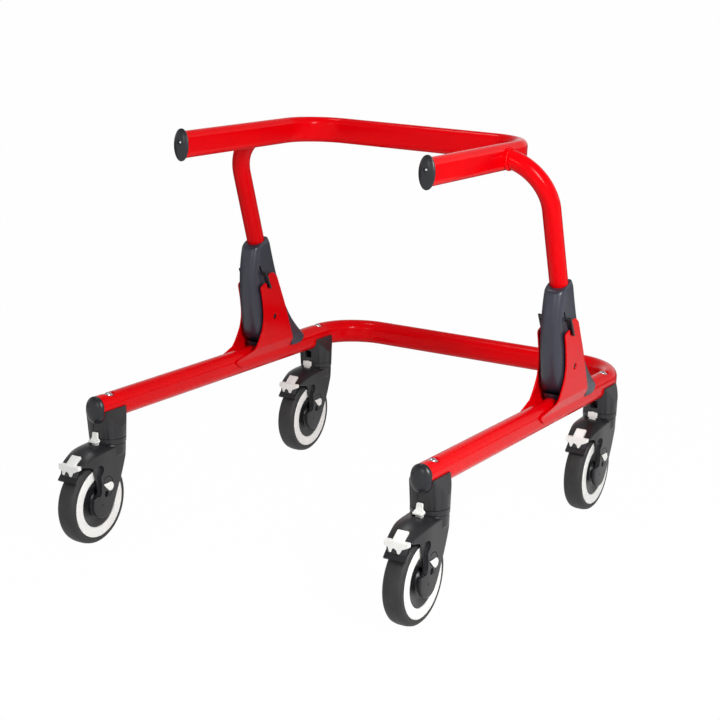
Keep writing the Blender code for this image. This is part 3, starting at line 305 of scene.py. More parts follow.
def counterclockwise(outline):
    """The outline, turned round if its signed area is negative."""
    u, v = outline.T
    area = (u * np.roll(v, -1) - v * np.roll(u, -1)).sum()
    return outline if area > 0 else outline[::-1]


def inside(points, outline):
    """Which points lie in an outline: a ray to the side crosses it an odd number of times."""
    u, v = points[:, None].T
    (a, b), (c, d) = outline.T, np.roll(outline, -1, 0).T
    a, b, c, d = (x[:, None] for x in (a, b, c, d))
    crossing = ((b > v) != (d > v)) & (u < (c - a) * (v - b) / np.where(d == b, 1, d - b) + a)
    return crossing.sum(axis=-2).reshape(-1) % 2 == 1


def within(points, loops):
    """Which points lie in the first loop and in none of the others, its holes."""
    keep = inside(points, loops[0])
    for hole in loops[1:]:
        keep &= ~inside(points, hole)
    return keep


def filled(loops, rows):
    """Triangles that fill an outline less its holes, with extra points on a lattice."""
    reach = np.vstack(loops)
    low, high = reach.min(0), reach.max(0)
    us = np.arange(low[0] + LATTICE / 2, high[0], LATTICE)
    vs = np.concatenate([np.arange(low[1] + LATTICE / 2, high[1], LATTICE), rows])
    lattice = np.stack(np.meshgrid(us, vs), -1).reshape(-1, 2)
    lattice = lattice[within(lattice, loops)]
    near = np.linalg.norm(lattice[:, None] - reach[None], axis=-1).min(1)
    lattice = lattice[near > CLEAR]
    edges, first = [], 0
    for loop in loops:
        count = np.arange(len(loop))
        edges += np.stack([first + count, first + (count + 1) % len(loop)], -1).tolist()
        first += len(loop)
    points = [Vector(p) for p in np.vstack([reach, lattice])]
    made = delaunay_2d_cdt(points, edges, [], 1, 1e-5)
    points, faces = np.array([tuple(p) for p in made[0]]), np.array(made[2])
    return points, faces[within(points[faces].mean(1), loops)].tolist()


def pressing(outline, low, high, edge, holes=(), rows=()):
    """A plate between two depths, as (depth, u, v) shells: two faces and rounded edges.

    Ring k of an edge is inset by edge * (1 - sin a), edge * (1 - cos a) below its face.
    """
    a = np.linspace(0, math.pi / 2, EDGE_STEPS + 1)
    insets = np.concatenate([[edge + TUCK], edge * (1 - np.sin(a))])
    drops = np.concatenate([[0], edge * (1 - np.cos(a))])
    rings = list(zip(insets, low + drops)) + list(zip(insets, high - drops))[::-1]
    loops = [(counterclockwise(outline), 1)] + [(counterclockwise(hole), -1) for hole in holes]
    shells = []
    for loop, way in loops:
        grid = np.stack([np.column_stack([np.full(len(loop), depth), inset(loop, way * d)])
                         for d, depth in rings])
        shells.append((grid.reshape(-1, 3), strip(grid)))
    tucked = [inset(loop, way * insets[0]) for loop, way in loops]
    points, faces = filled(tucked, np.asarray(rows))
    for depth in (low, high):
        shells.append((np.column_stack([np.full(len(points), depth), points]), faces))
    return joined(shells)


def joined(shells):
    """Several shells as one list of points and one of faces."""
    points, faces, first = [], [], 0
    for some, more in shells:
        points.append(np.asarray(some, float))
        faces += [[first + k for k in face] for face in more]
        first += len(some)
    return np.vstack(points), faces


def laid(shell, origin=(0, 0, 0), u=(1, 0, 0), v=(0, 0, 1), depth=(0, 1, 0)):
    """A shell of (depth, u, v) points laid in space: as it is given, it faces along Y."""
    points, faces = shell
    return points @ np.array([depth, u, v], float) + np.asarray(origin, float), faces


# %% [markdown]
# ## Finishes
# Every finish starts from what the real material is and how its surface was made. Colours
# are written as the hex values a paint shop would use and turned to linear light once.
# Pattern sizes are written in millimetres. A pattern finer than a pixel of the picture is
# drawn coarser than life, so that it shows.

# %% Nodes and colours


def linear(code):
    """An sRGB hex colour as linear light: ((c + 0.055) / 1.055) ** 2.4 above a small toe."""
    c = np.array([int(code[k:k + 2], 16) for k in (0, 2, 4)]) / 255
    c = np.where(c <= 0.04045, c / 12.92, ((c + 0.055) / 1.055) ** 2.4)
    return (*c.tolist(), 1.0)


def add(tree, kind, links=(), **settings):
    """Add a node with its settings, and link (input, node, output) for each link."""
    node = tree.nodes.new(kind)
    for key, value in settings.items():
        if key in node.inputs:
            node.inputs[key].default_value = value
        else:
            setattr(node, key, value)
    for socket, source, output in links:
        tree.links.new(source.outputs[output], node.inputs[socket])
    return node


def dressed(name, one, two, cloud, grain, rough, depth, detail=2.0, ior=1.5, metallic=0.0):
    """A finish of two close colours in clouds, whose grain breaks its gloss and its surface.

    Clouds and grain are noises so many millimetres across. The colour goes from one to two
    with the clouds, the roughness from rough - 0.05 to rough + 0.07 with the grain, and the
    grain is raised by a depth in millimetres. A metal keeps the default IOR.
    """
    material = bpy.data.materials.new(name)
    material.use_nodes = True
    tree = material.node_tree
    shader = tree.nodes["Principled BSDF"]
    shader.inputs["Metallic"].default_value = metallic
    if not metallic:
        shader.inputs["IOR"].default_value = ior
    coords = add(tree, "ShaderNodeTexCoord")
    spots = {"Detail": detail, "Roughness": 0.55, "links": [("Vector", coords, "Object")]}
    clouds = add(tree, "ShaderNodeTexNoise", Scale=1 / (cloud * MM), **spots)
    fine = add(tree, "ShaderNodeTexNoise", Scale=1 / (grain * MM), **spots)
    middle = {"From Min": 0.3, "From Max": 0.7}
    share = add(tree, "ShaderNodeMapRange", [("Value", clouds, "Fac")], **middle)
    gloss = add(tree, "ShaderNodeMapRange", [("Value", fine, "Fac")], **middle,
                **{"To Min": rough - 0.05, "To Max": rough + 0.07})
    colour = add(tree, "ShaderNodeMix", [(0, share, "Result")], data_type="RGBA")
    colour.inputs[6].default_value, colour.inputs[7].default_value = linear(one), linear(two)
    raised = add(tree, "ShaderNodeBump", [("Height", fine, "Fac")], Distance=depth * MM)
    tree.links.new(colour.outputs[2], shader.inputs["Base Color"])
    tree.links.new(gloss.outputs["Result"], shader.inputs["Roughness"])
    tree.links.new(raised.outputs["Normal"], shader.inputs["Normal"])
    return material


# %% [markdown]
# ### The finishes of this object
# The frame is powder-coated steel: a thick glossy polyester film that flows out in the oven
# and keeps a faint orange peel. The legs are injection-moulded polyamide with a spark-eroded
# satin grain, the caster forks the same plastic in black, and the pedals and wheel centres
# white acetal. The tyres are thermoplastic polyurethane, matt and slightly dusty where they
# roll. Fasteners are bright zinc-plated steel and clamp screws are black. The pivot bolts are
# drawn in black oxide instead of their zinc, as painted shade that darkens the holes they sit in.

# %% Powder coat and moulded plastics
# Powder coat: a saturated, even film with faint waves of about 2 mm. All round it is white,
# which a film of the usual IOR mirrors too strongly for the red in the picture.
RED = dressed("red_powder_coat", "DE0007", "D8000A", 60.0, 2.2, 0.18, 0.002, 1.0, ior=1.18)
# Moulded plastics: satin, with the fine grain of a spark-eroded mould. The caps are glossier.
GREY = dressed("satin_grey_polyamide", "2A2C38", "2F313E", 35.0, 1.1, 0.33, 0.015)
BLACK = dressed("satin_black_polyamide", "1E1E20", "242427", 35.0, 1.0, 0.36, 0.012, ior=1.45)
CAP = dressed("glossy_black_polyethylene", "1B1C20", "202126", 35.0, 2.2, 0.32, 0.0006, 1.0,
              ior=1.45)
WHITE = dressed("white_acetal", "F6F6F3", "F0F0EC", 35.0, 1.4, 0.32, 0.008, ior=1.48)
print("plastics and paint:", [m.name for m in (RED, GREY, BLACK, CAP, WHITE)])

# %% Tyre rubber, zinc plate and black oxide
# Tyre: matt, with pale dust in blotches and pores. Metals: gloss broken by drawing marks.
TYRE = dressed("grey_black_polyurethane", "1E1E1F", "2A2A2A", 18.0, 1.3, 0.62, 0.03, 4.0)
ZINC = dressed("bright_zinc_plate", "D9DADC", "C4C6CA", 12.0, 1.5, 0.22, 0.006, 4.0, metallic=1.0)
OXIDE = dressed("black_oxide_steel", "3A3A3E", "2E2E32", 12.0, 1.5, 0.35, 0.006, 4.0, metallic=1.0)
FINISH = {"red_paint": RED, "grey_plastic": GREY, "black_plastic": BLACK,
          "white_plastic": WHITE, "black_rubber": TYRE, "zinc": ZINC, "black_steel": OXIDE}
print("rubber and metals:", [m.name for m in (TYRE, ZINC, OXIDE)])

# %% Put a piece in the scene


def piece(name, mesh, slot, body, *nodes, place=(0, 0, 0), flip=False, look=None):
    """Show a mesh as a piece that rides on a CAD body in place of the nodes it stands for."""
    copy = mesh.copy()
    matrix = Matrix.Translation(Vector(place) * MM)
    if flip:
        matrix = matrix @ Matrix.Scale(-1, 4, Vector((1, 0, 0)))
    copy.transform(matrix)
    if flip:
        copy.flip_normals()
    copy.materials.clear()
    copy.materials.append(look or FINISH[slot])
    item = put(name, copy)
    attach(item, body)
    if nodes:
        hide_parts(*nodes)
    return item


# %% Finish the CAD nodes that keep their own shape
for node_name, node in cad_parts.items():
    slot_name = node.data.materials[0].name.split(".")[0] if node.data.materials else ""
    node.data.materials.clear()
    node.data.materials.append(FINISH.get(slot_name, GREY))

# %% [markdown]
# ## The base rail
# The rail is one flat-oval tube bent into a U. A flat oval is two half circles set apart,
# and carrying it along a path of straights and arcs gives the bent tube with no seam. A
# press sinks a dimple in its crown over each caster, so that the bolt head lies below the
# crown. The dimple is a smooth drop added to the height of the grid, so the grid is made
# fine along the tube where a dimple comes.

# %% Base rail
DIMPLE_R, DIMPLE_LIP, DIMPLE_EDGE, DIMPLE_SINK = 8.2, 0.6, 2.2, 4.0
FINE_RUN, FINE_ROWS = 15.0, 39         # half a fine stretch, and its rows
REAR_FINE = REAR_Y - 7.6               # the rear one ends just before the bend


def rail_corners(spots):
    """Corner points of the U, with close points on the straights about each spot."""
    x = TRACK / 2
    run = np.concatenate([y + np.linspace(-FINE_RUN, FINE_RUN, FINE_ROWS) for y in spots] + [[]])
    left = np.column_stack([np.full(len(run), -x), run, np.full(len(run), RAIL_Z)])
    right = left[::-1] * (-1, 1, 1)
    ends = np.array([(-x, NOSE_Y, RAIL_Z), (-x, CROSS_Y, RAIL_Z),
                     (x, CROSS_Y, RAIL_Z), (x, NOSE_Y, RAIL_Z)])
    return np.vstack([ends[:1], left, ends[1:3], right, ends[3:]])


def dimpled(grid):
    """Sink the crown about each bolt: height falls to the floor within DIMPLE_R of its axis."""
    floor = RAIL_TOP - DIMPLE_SINK
    for side, y in CORNERS.values():
        away = np.hypot(grid[..., 0] - side * TRACK / 2, grid[..., 1] - y)
        share = np.clip((away - DIMPLE_R + DIMPLE_LIP) / DIMPLE_EDGE, 0, 1)
        share = 1 - share ** 2 * (3 - 2 * share)
        grid[..., 2] -= np.maximum(grid[..., 2] - floor, 0) * share
    return grid


def base_rail():
    """Outer skin, and an inner one that lies deep enough for the dimples."""
    fine = bent_path(rail_corners((FRONT_Y, REAR_FINE)), RAIL_BEND, 40)
    plain = bent_path(rail_corners(()), RAIL_BEND, 12)
    up = (0, 0, 1)
    outer = dimpled(carry(fine, flat_oval(RAIL_WIDE, RAIL_TALL), up))
    inner = carry(plain, flat_oval(RAIL_WIDE - 5 * WALL, RAIL_TALL - 6 * WALL), up)
    return mesh_of("rail_tube", hollow(outer, inner))


rail = piece("rail_tube", base_rail(), "red_paint", "base", "base_frame")
print("base rail:", len(rail.data.polygons), "faces")

# %% [markdown]
# ## Domed caps
# Each end of the rail is closed by a moulded cap whose dome swells a little beyond the tube.
# A dome is the section shrunk by the cosine of an angle while it moves out by the sine. The
# handlebar's caps are flatter ovals with a small screw hole above their middle, so their
# rings shrink from the rim towards that hole.

# %% Caps of the base rail
RIM_Y, DOME = -2.0, 8.7


def rail_cap():
    """A plug, a flange with a soft edge, and a dome: size = cos(a) ** 0.9, reach = sin(a).

    The dome's section turns from the tube's flat oval at the rim into an ellipse.
    """
    plug = flat_oval(RAIL_WIDE - 5, RAIL_TALL - 5)
    rim = flat_oval(RAIL_WIDE + 1, RAIL_TALL + 1)
    lip = flat_oval(RAIL_WIDE + 0.2, RAIL_TALL + 0.2)
    turn = np.linspace(0, math.pi, len(rim) // 2)
    half = np.stack([(RAIL_WIDE + 1) / 2 * np.cos(turn), (RAIL_TALL + 1) / 2 * np.sin(turn)], -1)
    egg = np.vstack([half, -half])
    rings = [(plug, 10.0), (plug, -0.3), (lip, -0.3), (rim, -0.8), (rim, RIM_Y)]
    for a in np.radians(np.arange(6, 90, 4.1)):
        section = rim + (egg - rim) * math.sin(a) ** 0.5
        rings.append((section * math.cos(a) ** 0.9, RIM_Y - DOME * math.sin(a)))
    return mesh_of("rail_cap", upright(rings))


cap_mesh = rail_cap()
for side_name, sign in SIDES.items():
    piece(f"rail_cap_{side_name}", cap_mesh, "grey_plastic", "base", f"base_cap_{side_name}",
          place=(sign * TRACK / 2, NOSE_Y, RAIL_Z), look=CAP)
print("rail caps:", len(cap_mesh.polygons), "faces each")

# %% [markdown]
# ## Side plates
# A pair of steel pressings is welded to each rail and holds the leg's pivot. They are flat
# above a fold, lean in to the rail's flank below it, and end in a narrow flange. The outline
# is filled with triangles, with close rows of points along the folds, and then every point
# moves sideways by a ramp with rounded ends, which bends the plate as a press brake does.

# %% Side plates
PLATE_IN, PLATE_THICK, PLATE_EDGE, PLATE_HOLE = 20.6, 2.5, 0.8, 9.4
FOLD_Z, FLANGE_Z, FOLD_SOFT = -44.6, -59.6, 0.5
FLANGE_IN = RAIL_WIDE / 2 + 0.3


def soft_step(z, low, high, soft):
    """A ramp from 0 at low to 1 at high, its corners rounded over a length."""
    def lift(t):
        return (t + np.sqrt(t ** 2 + soft ** 2)) / 2
    return (lift(z - low) - lift(z - high)) / (high - low)


def plate_outline():
    """Front edge as a smooth curve, the rest as straight runs with rounded corners."""
    front = curve([(-42.0, 47.5), (-36.4, 27.4), (-32.9, 5.0), (-34.9, -12.0), (-40.4, -24.6),
                   (-53.9, -43.6), (-68.0, -48.9), (-98.0, -56.6), (-101.4, -62.1)])
    back = rounded([(-101.4, -62.1, 0), (-89.0, -70.4, 3), (38.0, -71.1, 0), (50.1, -64.1, 4),
                    (55.1, -58.6, 4), (58.1, -46.6, 5), (28.6, 18.4, 60), (2.1, 67.9, 9),
                    (-8.9, 74.9, 6), (-20.9, 74.4, 4), (-22.6, 67.9, 3), (-16.4, 52.0, 3),
                    (-23.7, 50.0, 3), (-29.9, 60.8, 3), (-45.2, 55.2, 6), (-42.0, 47.5, 0)])
    return np.vstack([front[:-1], back[1:-1]])


def side_plate():
    """A plate on the +X side of its rail, about the pivot."""
    rows = np.concatenate([z + np.arange(-3.0, 3.5, 1.0) for z in (FOLD_Z, FLANGE_Z)])
    hole = ellipse(PLATE_HOLE, PLATE_HOLE, 32)
    points, faces = pressing(plate_outline(), 0, PLATE_THICK, PLATE_EDGE, [hole], rows)
    ramp = soft_step(points[:, 2], FLANGE_Z, FOLD_Z, FOLD_SOFT)
    points[:, 0] += FLANGE_IN + (PLATE_IN - FLANGE_IN) * ramp
    return mesh_of("side_plate", (points, faces))


plate_mesh = side_plate()
for side_name, sign in SIDES.items():
    for which, way in (("outer", sign), ("inner", -sign)):
        label = f"plate_{side_name}_{which}"
        piece(label, plate_mesh, "red_paint", "base", "side_" + label,
              place=(sign * TRACK / 2, PIVOT_Y, PIVOT_Z), flip=way < 0)
print("side plates:", len(plate_mesh.polygons), "faces each")

# %% [markdown]
# ## Fasteners
# Bolts and screws are turned parts, so a profile turned round their axis is exact. Each
# head gets the hexagon socket of a socket screw: the columns of the turned grid carry on
# inwards from the rim to a ring with six flats, then down and across its floor.

# %% Bolts and screws
TIP = 0.01                     # a turned profile starts this far off its axis
HEAD_SIDES = 48


def hexagon(across, turn):
    """Radius of a hexagon, so many millimetres across its flats, at each angle."""
    return across / 2 / np.cos((turn + math.pi / 6) % (math.pi / 3) - math.pi / 6)


def socket_head(profile, across, depth):
    """A turned profile that ends in a hexagon socket, as a grid along +Z from its foot."""
    turn = full_turn(HEAD_SIDES)
    radius, height = (np.repeat(line[:, None], HEAD_SIDES, 1)
                      for line in np.array(profile, float).T)
    flats, top = hexagon(across, turn), height[-1]
    radius = np.vstack([radius, flats, flats, flats * 0.05])
    height = np.vstack([height, top, top - depth, top - depth - 0.4])
    return np.stack([radius * np.cos(turn), radius * np.sin(turn), height], -1)


def caster_bolt():
    """Washer and domed head in the dimple, with a shank through the rail."""
    rim = [(TIP, -44), (4, -43.5), (4, 0.3), (7.2, 0.3), (7.4, 0.5), (7.4, 1.3), (7.2, 1.5),
           (5.7, 1.5)]
    dome = [(5.7 * math.cos(a), 1.5 + 3.4 * math.sin(a)) for a in np.radians(np.arange(10, 68, 8))]
    return mesh_of("caster_bolt", skin(socket_head(rim + dome, 3.2, 1.6)))


def pivot_bolt():
    """Bolt across both plates: each head lies a little below its plate's outer face."""
    face = PLATE_IN + PLATE_THICK - 1.4
    left = [(TIP, -face + 0.4), (2.7, -face), (3.4, -face + 0.5), (3.4, -face + 1.9),
            (3, -face + 1.9)]
    right = [(3, face - 1.9), (3.4, face - 1.9), (3.4, face - 0.5), (3.0, face)]
    return skin(socket_head(left + right, 2.6, 1.2)[..., [2, 0, 1]])


bolt_mesh = caster_bolt()
for corner, (sign, y) in CORNERS.items():
    piece(f"bolt_{corner}", bolt_mesh, "zinc", "base", f"caster_bolt_{corner}",
          place=(sign * TRACK / 2, y, RAIL_TOP - DIMPLE_SINK))
# The pivot bolts take the dark oxide finish in place of their zinc: painted shade for the recessed
# holes in the plates.
pivot_mesh = mesh_of("pivot_bolt", pivot_bolt())
for side_name, sign in SIDES.items():
    piece(f"pivot_{side_name}", pivot_mesh, "zinc", "base", f"pivot_bolt_{side_name}",
          place=(sign * TRACK / 2, PIVOT_Y, PIVOT_Z), flip=sign < 0, look=OXIDE)
print("bolts:", len(CORNERS), "over the casters and", len(SIDES), "at the pivots")

# %% [markdown]
# ## Leg housings
# Each leg is a hollow moulding with a round nose, flat sides and a slanting back. Its side
# view is two curves, front and rear. Between a point on each goes a plan section whose two
# ends are superellipses, which round a corner more gently than a circle. After the last
# section the grid turns in over the rim and runs down the bore, so wall and bore are one
# closed surface.

# %% Sections of the leg housing
BORE_R, HOUSING_TOP, BORE_FLOOR = POST_R + 0.35, 129.0, -37.0
HOUSING_FLAT, FLARE, FLARE_Z, FLARE_SOFT = 16.5, 19.8, (39.4, 71.4), 8.0
FOOT_ARC, HEEL_FRONT, RIM_SOFT = 46.0, 60.5, 1.6
NOSE_POWER, RING = 2.7, 72


def on_post(along):
    """A point along the post's axis, about the pivot."""
    return POST_BACK * POST_OFFSET + POST_DIR * along


def leg_ring(front, rear, wide, nose, tail, square):
    """Points round a leg from its front to its rear, |cos| and |sin| to the power 2 / n.

    Nose and tail have an n and a depth of their own, and the tail is the squarer one. The
    sides spread from the narrow width to the wide one behind the nose.
    """
    turn = full_turn(RING)
    ahead = np.sin(turn) >= 0
    n = np.where(ahead, NOSE_POWER, square)
    rise = np.abs(np.sin(turn)) ** (2 / n)
    length = np.linalg.norm(rear - front)
    down = np.where(ahead, nose * (1 - rise), length - tail * (1 - rise))
    narrow = min(wide, HOUSING_FLAT)
    half = narrow + (wide - narrow) * np.clip(down / nose - 0.5, 0, 1)
    x = half * np.sign(np.cos(turn)) * np.abs(np.cos(turn)) ** (2 / n)
    return np.column_stack([x, front + (rear - front)[None] / length * down[:, None]])


def corner_curve(*corners):
    """A quadratic curve from start to end that leaves and arrives towards a corner."""
    t = np.linspace(0, 1, 8)[:, None]
    start, corner, end = np.array(corners)
    return (1 - t) ** 2 * start + 2 * t * (1 - t) * corner + t ** 2 * end


def leg_rows():
    """What leg_ring takes for each section, from the heel over foot and wall to the rim."""
    turn = np.radians(np.linspace(-88, -37, 9))
    foot = FOOT_ARC * np.column_stack([-np.cos(turn), np.sin(turn)])
    wall = curve([(-37.9, -26.6), (-42.9, -12.0), (-46.9, 2.4), (-51.6, 20.0), (-54.6, 39.4),
                  (-56.4, 58.0), (-56.9, 78.4), (-54.9, 99.0), (-52.4, 113.0)], 4)[1:]
    heel = curve([(87.5, -59.7), (95.0, -59.0), (101.0, -56.8), (104.4, -53.4), (104.9, -50.0),
                  (102.6, -46.6)], 2)
    back = curve([(98.6, -43.3), (84.1, -32.0), (66.0, -15.5), (50.1, 1.4), (36.5, 20.0),
                  (25.1, 40.4), (12.1, 71.4), (1.6, 97.0), (-7.6, 120.4)], 6)
    low = np.column_stack([np.full(len(heel), HEEL_FRONT), heel[:, 1]])
    rim = corner_curve((-52.4, 113.0), (-51.3, 118.3), (-47.0, 120.1))[1:]
    fronts = np.vstack([low, foot, wall, rim])
    runs = np.linalg.norm(np.diff(np.vstack([foot, wall]), axis=0), axis=1)
    path = np.concatenate([[0], np.cumsum(runs)])
    share = path / path[-1] * (len(back) - 1)
    rears = np.column_stack([np.interp(share, np.arange(len(back)), back[:, k]) for k in (0, 1)])
    top = corner_curve((-7.6, 120.4), (-10.6, 127.4), (-14.6, 132.7))[1:]
    rears = np.vstack([heel, rears, top])
    spread = 1 - soft_step(rears[:, 1], *FLARE_Z, FLARE_SOFT)
    wide = HOUSING_FLAT + (FLARE - HOUSING_FLAT) * spread
    wide[-len(rim):] -= RIM_SOFT * (1 - np.cos(np.linspace(0, math.pi / 2, 8)[1:]))
    rows, h, last = np.arange(len(fronts)), len(heel), len(fronts) - 1
    nose = np.interp(rows, [0, h - 1, h + 4, h + 8, h + 18, last - 7, last],
                     [1.5, 1.5, 4, 8, 16, 16, 12.5])
    tail = np.interp(rows, [0, h + 10, last - 7, last], [13, 12, 8, 5.5])
    square = np.interp(rows, [0, h + 10, last - 19], [2.5, 2.8, 4.0])
    return zip(fronts, rears, wide, nose, tail, square)


def leg_body():
    """Walls from the heel to the rim, over the rim and down the bore to its floor."""
    rings = [leg_ring(*row) for row in leg_rows()]
    turn = full_turn(RING)
    across = np.outer(np.cos(turn), (1, 0, 0)) - np.outer(np.sin(turn), POST_BACK)
    for along, radius in ((HOUSING_TOP, BORE_R + 0.5), (HOUSING_TOP - 0.5, BORE_R),
                          (BORE_FLOOR, BORE_R)):
        rings.append(on_post(along) + radius * across)
    return skin(np.stack(rings))


# %% Leg housings, catches and clamp screws
CATCH_LEAN = math.radians(29.5)
CATCH_DIR = np.array([0, -math.sin(CATCH_LEAN), math.cos(CATCH_LEAN)])
CATCH_BACK = np.array([0, math.cos(CATCH_LEAN), math.sin(CATCH_LEAN)])
CATCH_FOOT = np.array([0, -19.0, 50.0])
RAIL_GAP = 0.8
TONGUE_IN, TONGUE_THICK = PLATE_IN + PLATE_THICK + 0.6, 3.0
SCREW_AT = Matrix.Translation(Vector(on_post(96.0)) * MM) @ Matrix.Rotation(POST_LEAN, 4, "X")


def catch_bar(start, end, half, low, high, edge=0.7):
    """A rounded strip along the catch's slanted line."""
    ends = ((start, -half), (end, -half), (end, half), (start, half))
    outline = rounded([(*point, half * 0.9) for point in ends])
    return laid(pressing(outline, low, high, edge), CATCH_FOOT, CATCH_DIR, CATCH_BACK, (1, 0, 0))


def leg_housing():
    """The moulding less the rail's room and the slots for the catch and the clamp screw."""
    slot = mesh_of("slot", catch_bar(25.7, 44.3, 2.1, -40, 40, 0.1))
    screw = mesh_of("screw", turned([(TIP, 5), (3.3, 5), (3.3, 40), (TIP, 40)], axis="Y"))
    screw.transform(SCREW_AT)
    run = np.array([(0, -150, RAIL_Z - PIVOT_Z), (0, 150, RAIL_Z - PIVOT_Z)], float)
    along = np.array([(0, 1, 0), (0, 1, 0)], float)
    section = flat_oval(RAIL_WIDE + RAIL_GAP, RAIL_TALL + RAIL_GAP)
    rail_room = mesh_of("rail_room", skin(carry((run, along), section, (0, 0, 1))))
    return changed(mesh_of("leg", leg_body()), cut(rail_room), cut(slot), cut(screw))


def catch():
    """A bar through the housing with a tongue outside each plate."""
    low, high = TONGUE_IN, TONGUE_IN + TONGUE_THICK
    return mesh_of("catch", catch_bar(26, 33, 1.7, 0.4 - low - 3, low + 2.6, 0.5),
                   catch_bar(0, 33.5, 1.8, low, high), catch_bar(0, 33.5, 1.8, -high, -low))


def clamp_screw():
    """Socket screw, square to the post, in the back of the housing."""
    profile = [(TIP, 14.6), (2.8, 14.6), (3, 15), (3, 21.1), (5.2, 21.1), (5.5, 21.4), (5.5, 24.7),
               (5.1, 25.1)]
    return skin(socket_head(profile, 4.6, 2.4)[..., [1, 2, 0]])


leg_mesh, catch_mesh = leg_housing(), catch()
screw_mesh = mesh_of("clamp_screw", clamp_screw())
screw_mesh.transform(SCREW_AT)
for side_name, sign in SIDES.items():
    for label, mesh, slot_name, body, node_name in (
            ("leg", leg_mesh, "grey_plastic", "legs", "leg_housing"),
            ("catch", catch_mesh, "black_plastic", f"catch_{side_name}", "leg_catch"),
            ("screw", screw_mesh, "black_steel", "legs", "clamp_screw")):
        piece(f"{label}_{side_name}", mesh, slot_name, body, f"{node_name}_{side_name}",
              place=(sign * TRACK / 2, PIVOT_Y, PIVOT_Z))
print("leg housings:", len(leg_mesh.polygons), "faces each")

# %% [markdown]
# ## Handlebar and posts
# The handlebar is a second flat-oval U, and each post is a round tube that bends inwards and
# is welded to its flank. Both are profiles carried along paths. The post's last ring slides
# along the tube's own direction on to the handlebar's flank, as a mitred end does, and a
# ring of weld with small ripples covers the joint.

# %% Handlebar with its posts
HANDLE_HALF, HANDLE_RISE, HANDLE_CROSS, HANDLE_REACH = 196.7, 311.5, 11.5, 329.0
HANDLE_WIDE, HANDLE_TALL, HANDLE_BEND = 20.0, 39.0, 67.0
POST_END_RISE, POST_FOOT = 312.6, 60.0
FLANK = HANDLE_HALF + HANDLE_WIDE / 2
WELD_R, WELD_RIPPLE, WELD_RIPPLES = 2.3, 0.4, 12
CAP_EDGE, CAP_BULGE, SCREW_RISE = -2.9, 3.6, 4.0


def handlebar():
    """The U of the handlebar in the plane of its height."""
    x = HANDLE_HALF
    corners = [(-x, -HANDLE_REACH), (-x, HANDLE_CROSS), (x, HANDLE_CROSS), (x, -HANDLE_REACH)]
    path = bent_path([(a, b, HANDLE_RISE) for a, b in corners], HANDLE_BEND, 36)
    return hollow(*(carry(path, flat_oval(HANDLE_WIDE - thick, HANDLE_TALL - thick, 32), (0, 0, 1))
                    for thick in (0, 2 * WALL)))


def post_at(height):
    """The point of the post's axis at a height over the pivot."""
    return on_post((height - on_post(0)[2]) / POST_DIR[2])


def post(side):
    """A post from its foot in the housing, up and inwards to the handlebar's flank."""
    across = np.array([side * TRACK / 2, 0, 0])
    foot, top = on_post(POST_FOOT), post_at(POST_END_RISE)
    inward = np.array([-side * (POST_BEND + 5), 0, 0])
    places, along = bent_path([foot + across, top + across, top + across + inward], POST_BEND, 40)
    stop = FLANK - 1.0
    keep = np.abs(places[:, 0]) > stop + 3
    places, along = places[keep], along[keep]
    up = unit(np.cross(along[0], inward))
    walls = []
    for radius in (POST_R, POST_R - WALL):
        grid = carry((places, along), ellipse(2 * radius, 2 * radius, 48), up)
        reach = (side * stop - grid[-1, :, 0]) / along[-1, 0]
        walls.append(np.vstack([grid, (grid[-1] + along[-1] * reach[:, None])[None]]))
    return hollow(*walls)


def weld(side):
    """A bead round the post's end: a small circle turned about it, with ripples."""
    inset_x = TRACK / 2 - POST_BEND - FLANK
    centre = post_at(POST_END_RISE - POST_BEND + math.sqrt(POST_BEND ** 2 - inset_x ** 2))
    turn, small = full_turn(12 * WELD_RIPPLES), full_turn(12)[:, None]
    swell = WELD_R + WELD_RIPPLE * np.abs(np.sin(turn * WELD_RIPPLES))
    radius = POST_R + 1.0 + swell * np.cos(small)
    x = side * (FLANK + 0.9 + 1.25 * swell * np.sin(small))
    return skin(np.stack([x + 0 * turn, centre[1] + radius * np.cos(turn),
                          centre[2] + 1.01 * radius * np.sin(turn)], -1), ring=True)


def handle_cap():
    """A plug, an oval rim, and rings over a shallow dome, 1 - share ** 2.2, to a screw hole."""
    middle = (0, SCREW_RISE)
    hole, rim = ellipse(6.4, 6.4) + middle, ellipse(24.6, 46.7)
    plug = flat_oval(HANDLE_WIDE - 4.6, HANDLE_TALL - 4.6, 32)
    rings = [(plug, 12.0), (plug, -0.3), (rim * 0.985, -0.3), (rim, -0.8), (rim, -2.4)]
    for share in np.linspace(1, 0, 12):
        section = hole + (rim * 0.975 - hole) * share
        rings.append((section, CAP_EDGE - CAP_BULGE * (1 - share ** 2.2)))
    rings += [(hole, -4.2), ((hole - middle) * 0.6 + middle, -4.0)]
    return mesh_of("handle_cap", upright(rings))


handle_mesh = mesh_of("handlebar", handlebar(), post(-1), post(1), weld(-1), weld(1))
handle = piece("handlebar_and_posts", handle_mesh, "red_paint", "handle", "handle_frame",
               place=(0, PIVOT_Y, PIVOT_Z))
grip_cap = handle_cap()
screw_profile = [(TIP, -4.3), (2.1, -4.3), (1.9, -4.8), (1.1, -5.2), (TIP, -5.3)]
cap_screw = mesh_of("cap_screw", turned(screw_profile, (0, 0, SCREW_RISE), "Y", 32))
for side_name, sign in SIDES.items():
    spot = (sign * HANDLE_HALF, PIVOT_Y - HANDLE_REACH, PIVOT_Z + HANDLE_RISE)
    piece(f"grip_cap_{side_name}", grip_cap, "grey_plastic", "handle", f"handle_cap_{side_name}",
          place=spot, look=CAP)
    piece(f"cap_screw_{side_name}", cap_screw, "zinc", "handle", place=spot)
print("handlebar and posts:", len(handle.data.polygons), "faces")

# %% [markdown]
# ## Wheels
# A caster wheel is three turned rings: a tyre with rounded shoulders, a white centre ring
# and a dark dished hub. Each is a closed profile turned about the axle, with small radii at
# its edges, because a sharp edge catches no light.

# %% Wheels
RIM_OUT, RIM_IN, HALF_WHEEL, HUB_END, BORE = 51.7, 37.0, 15.0, 16.9, 4.3


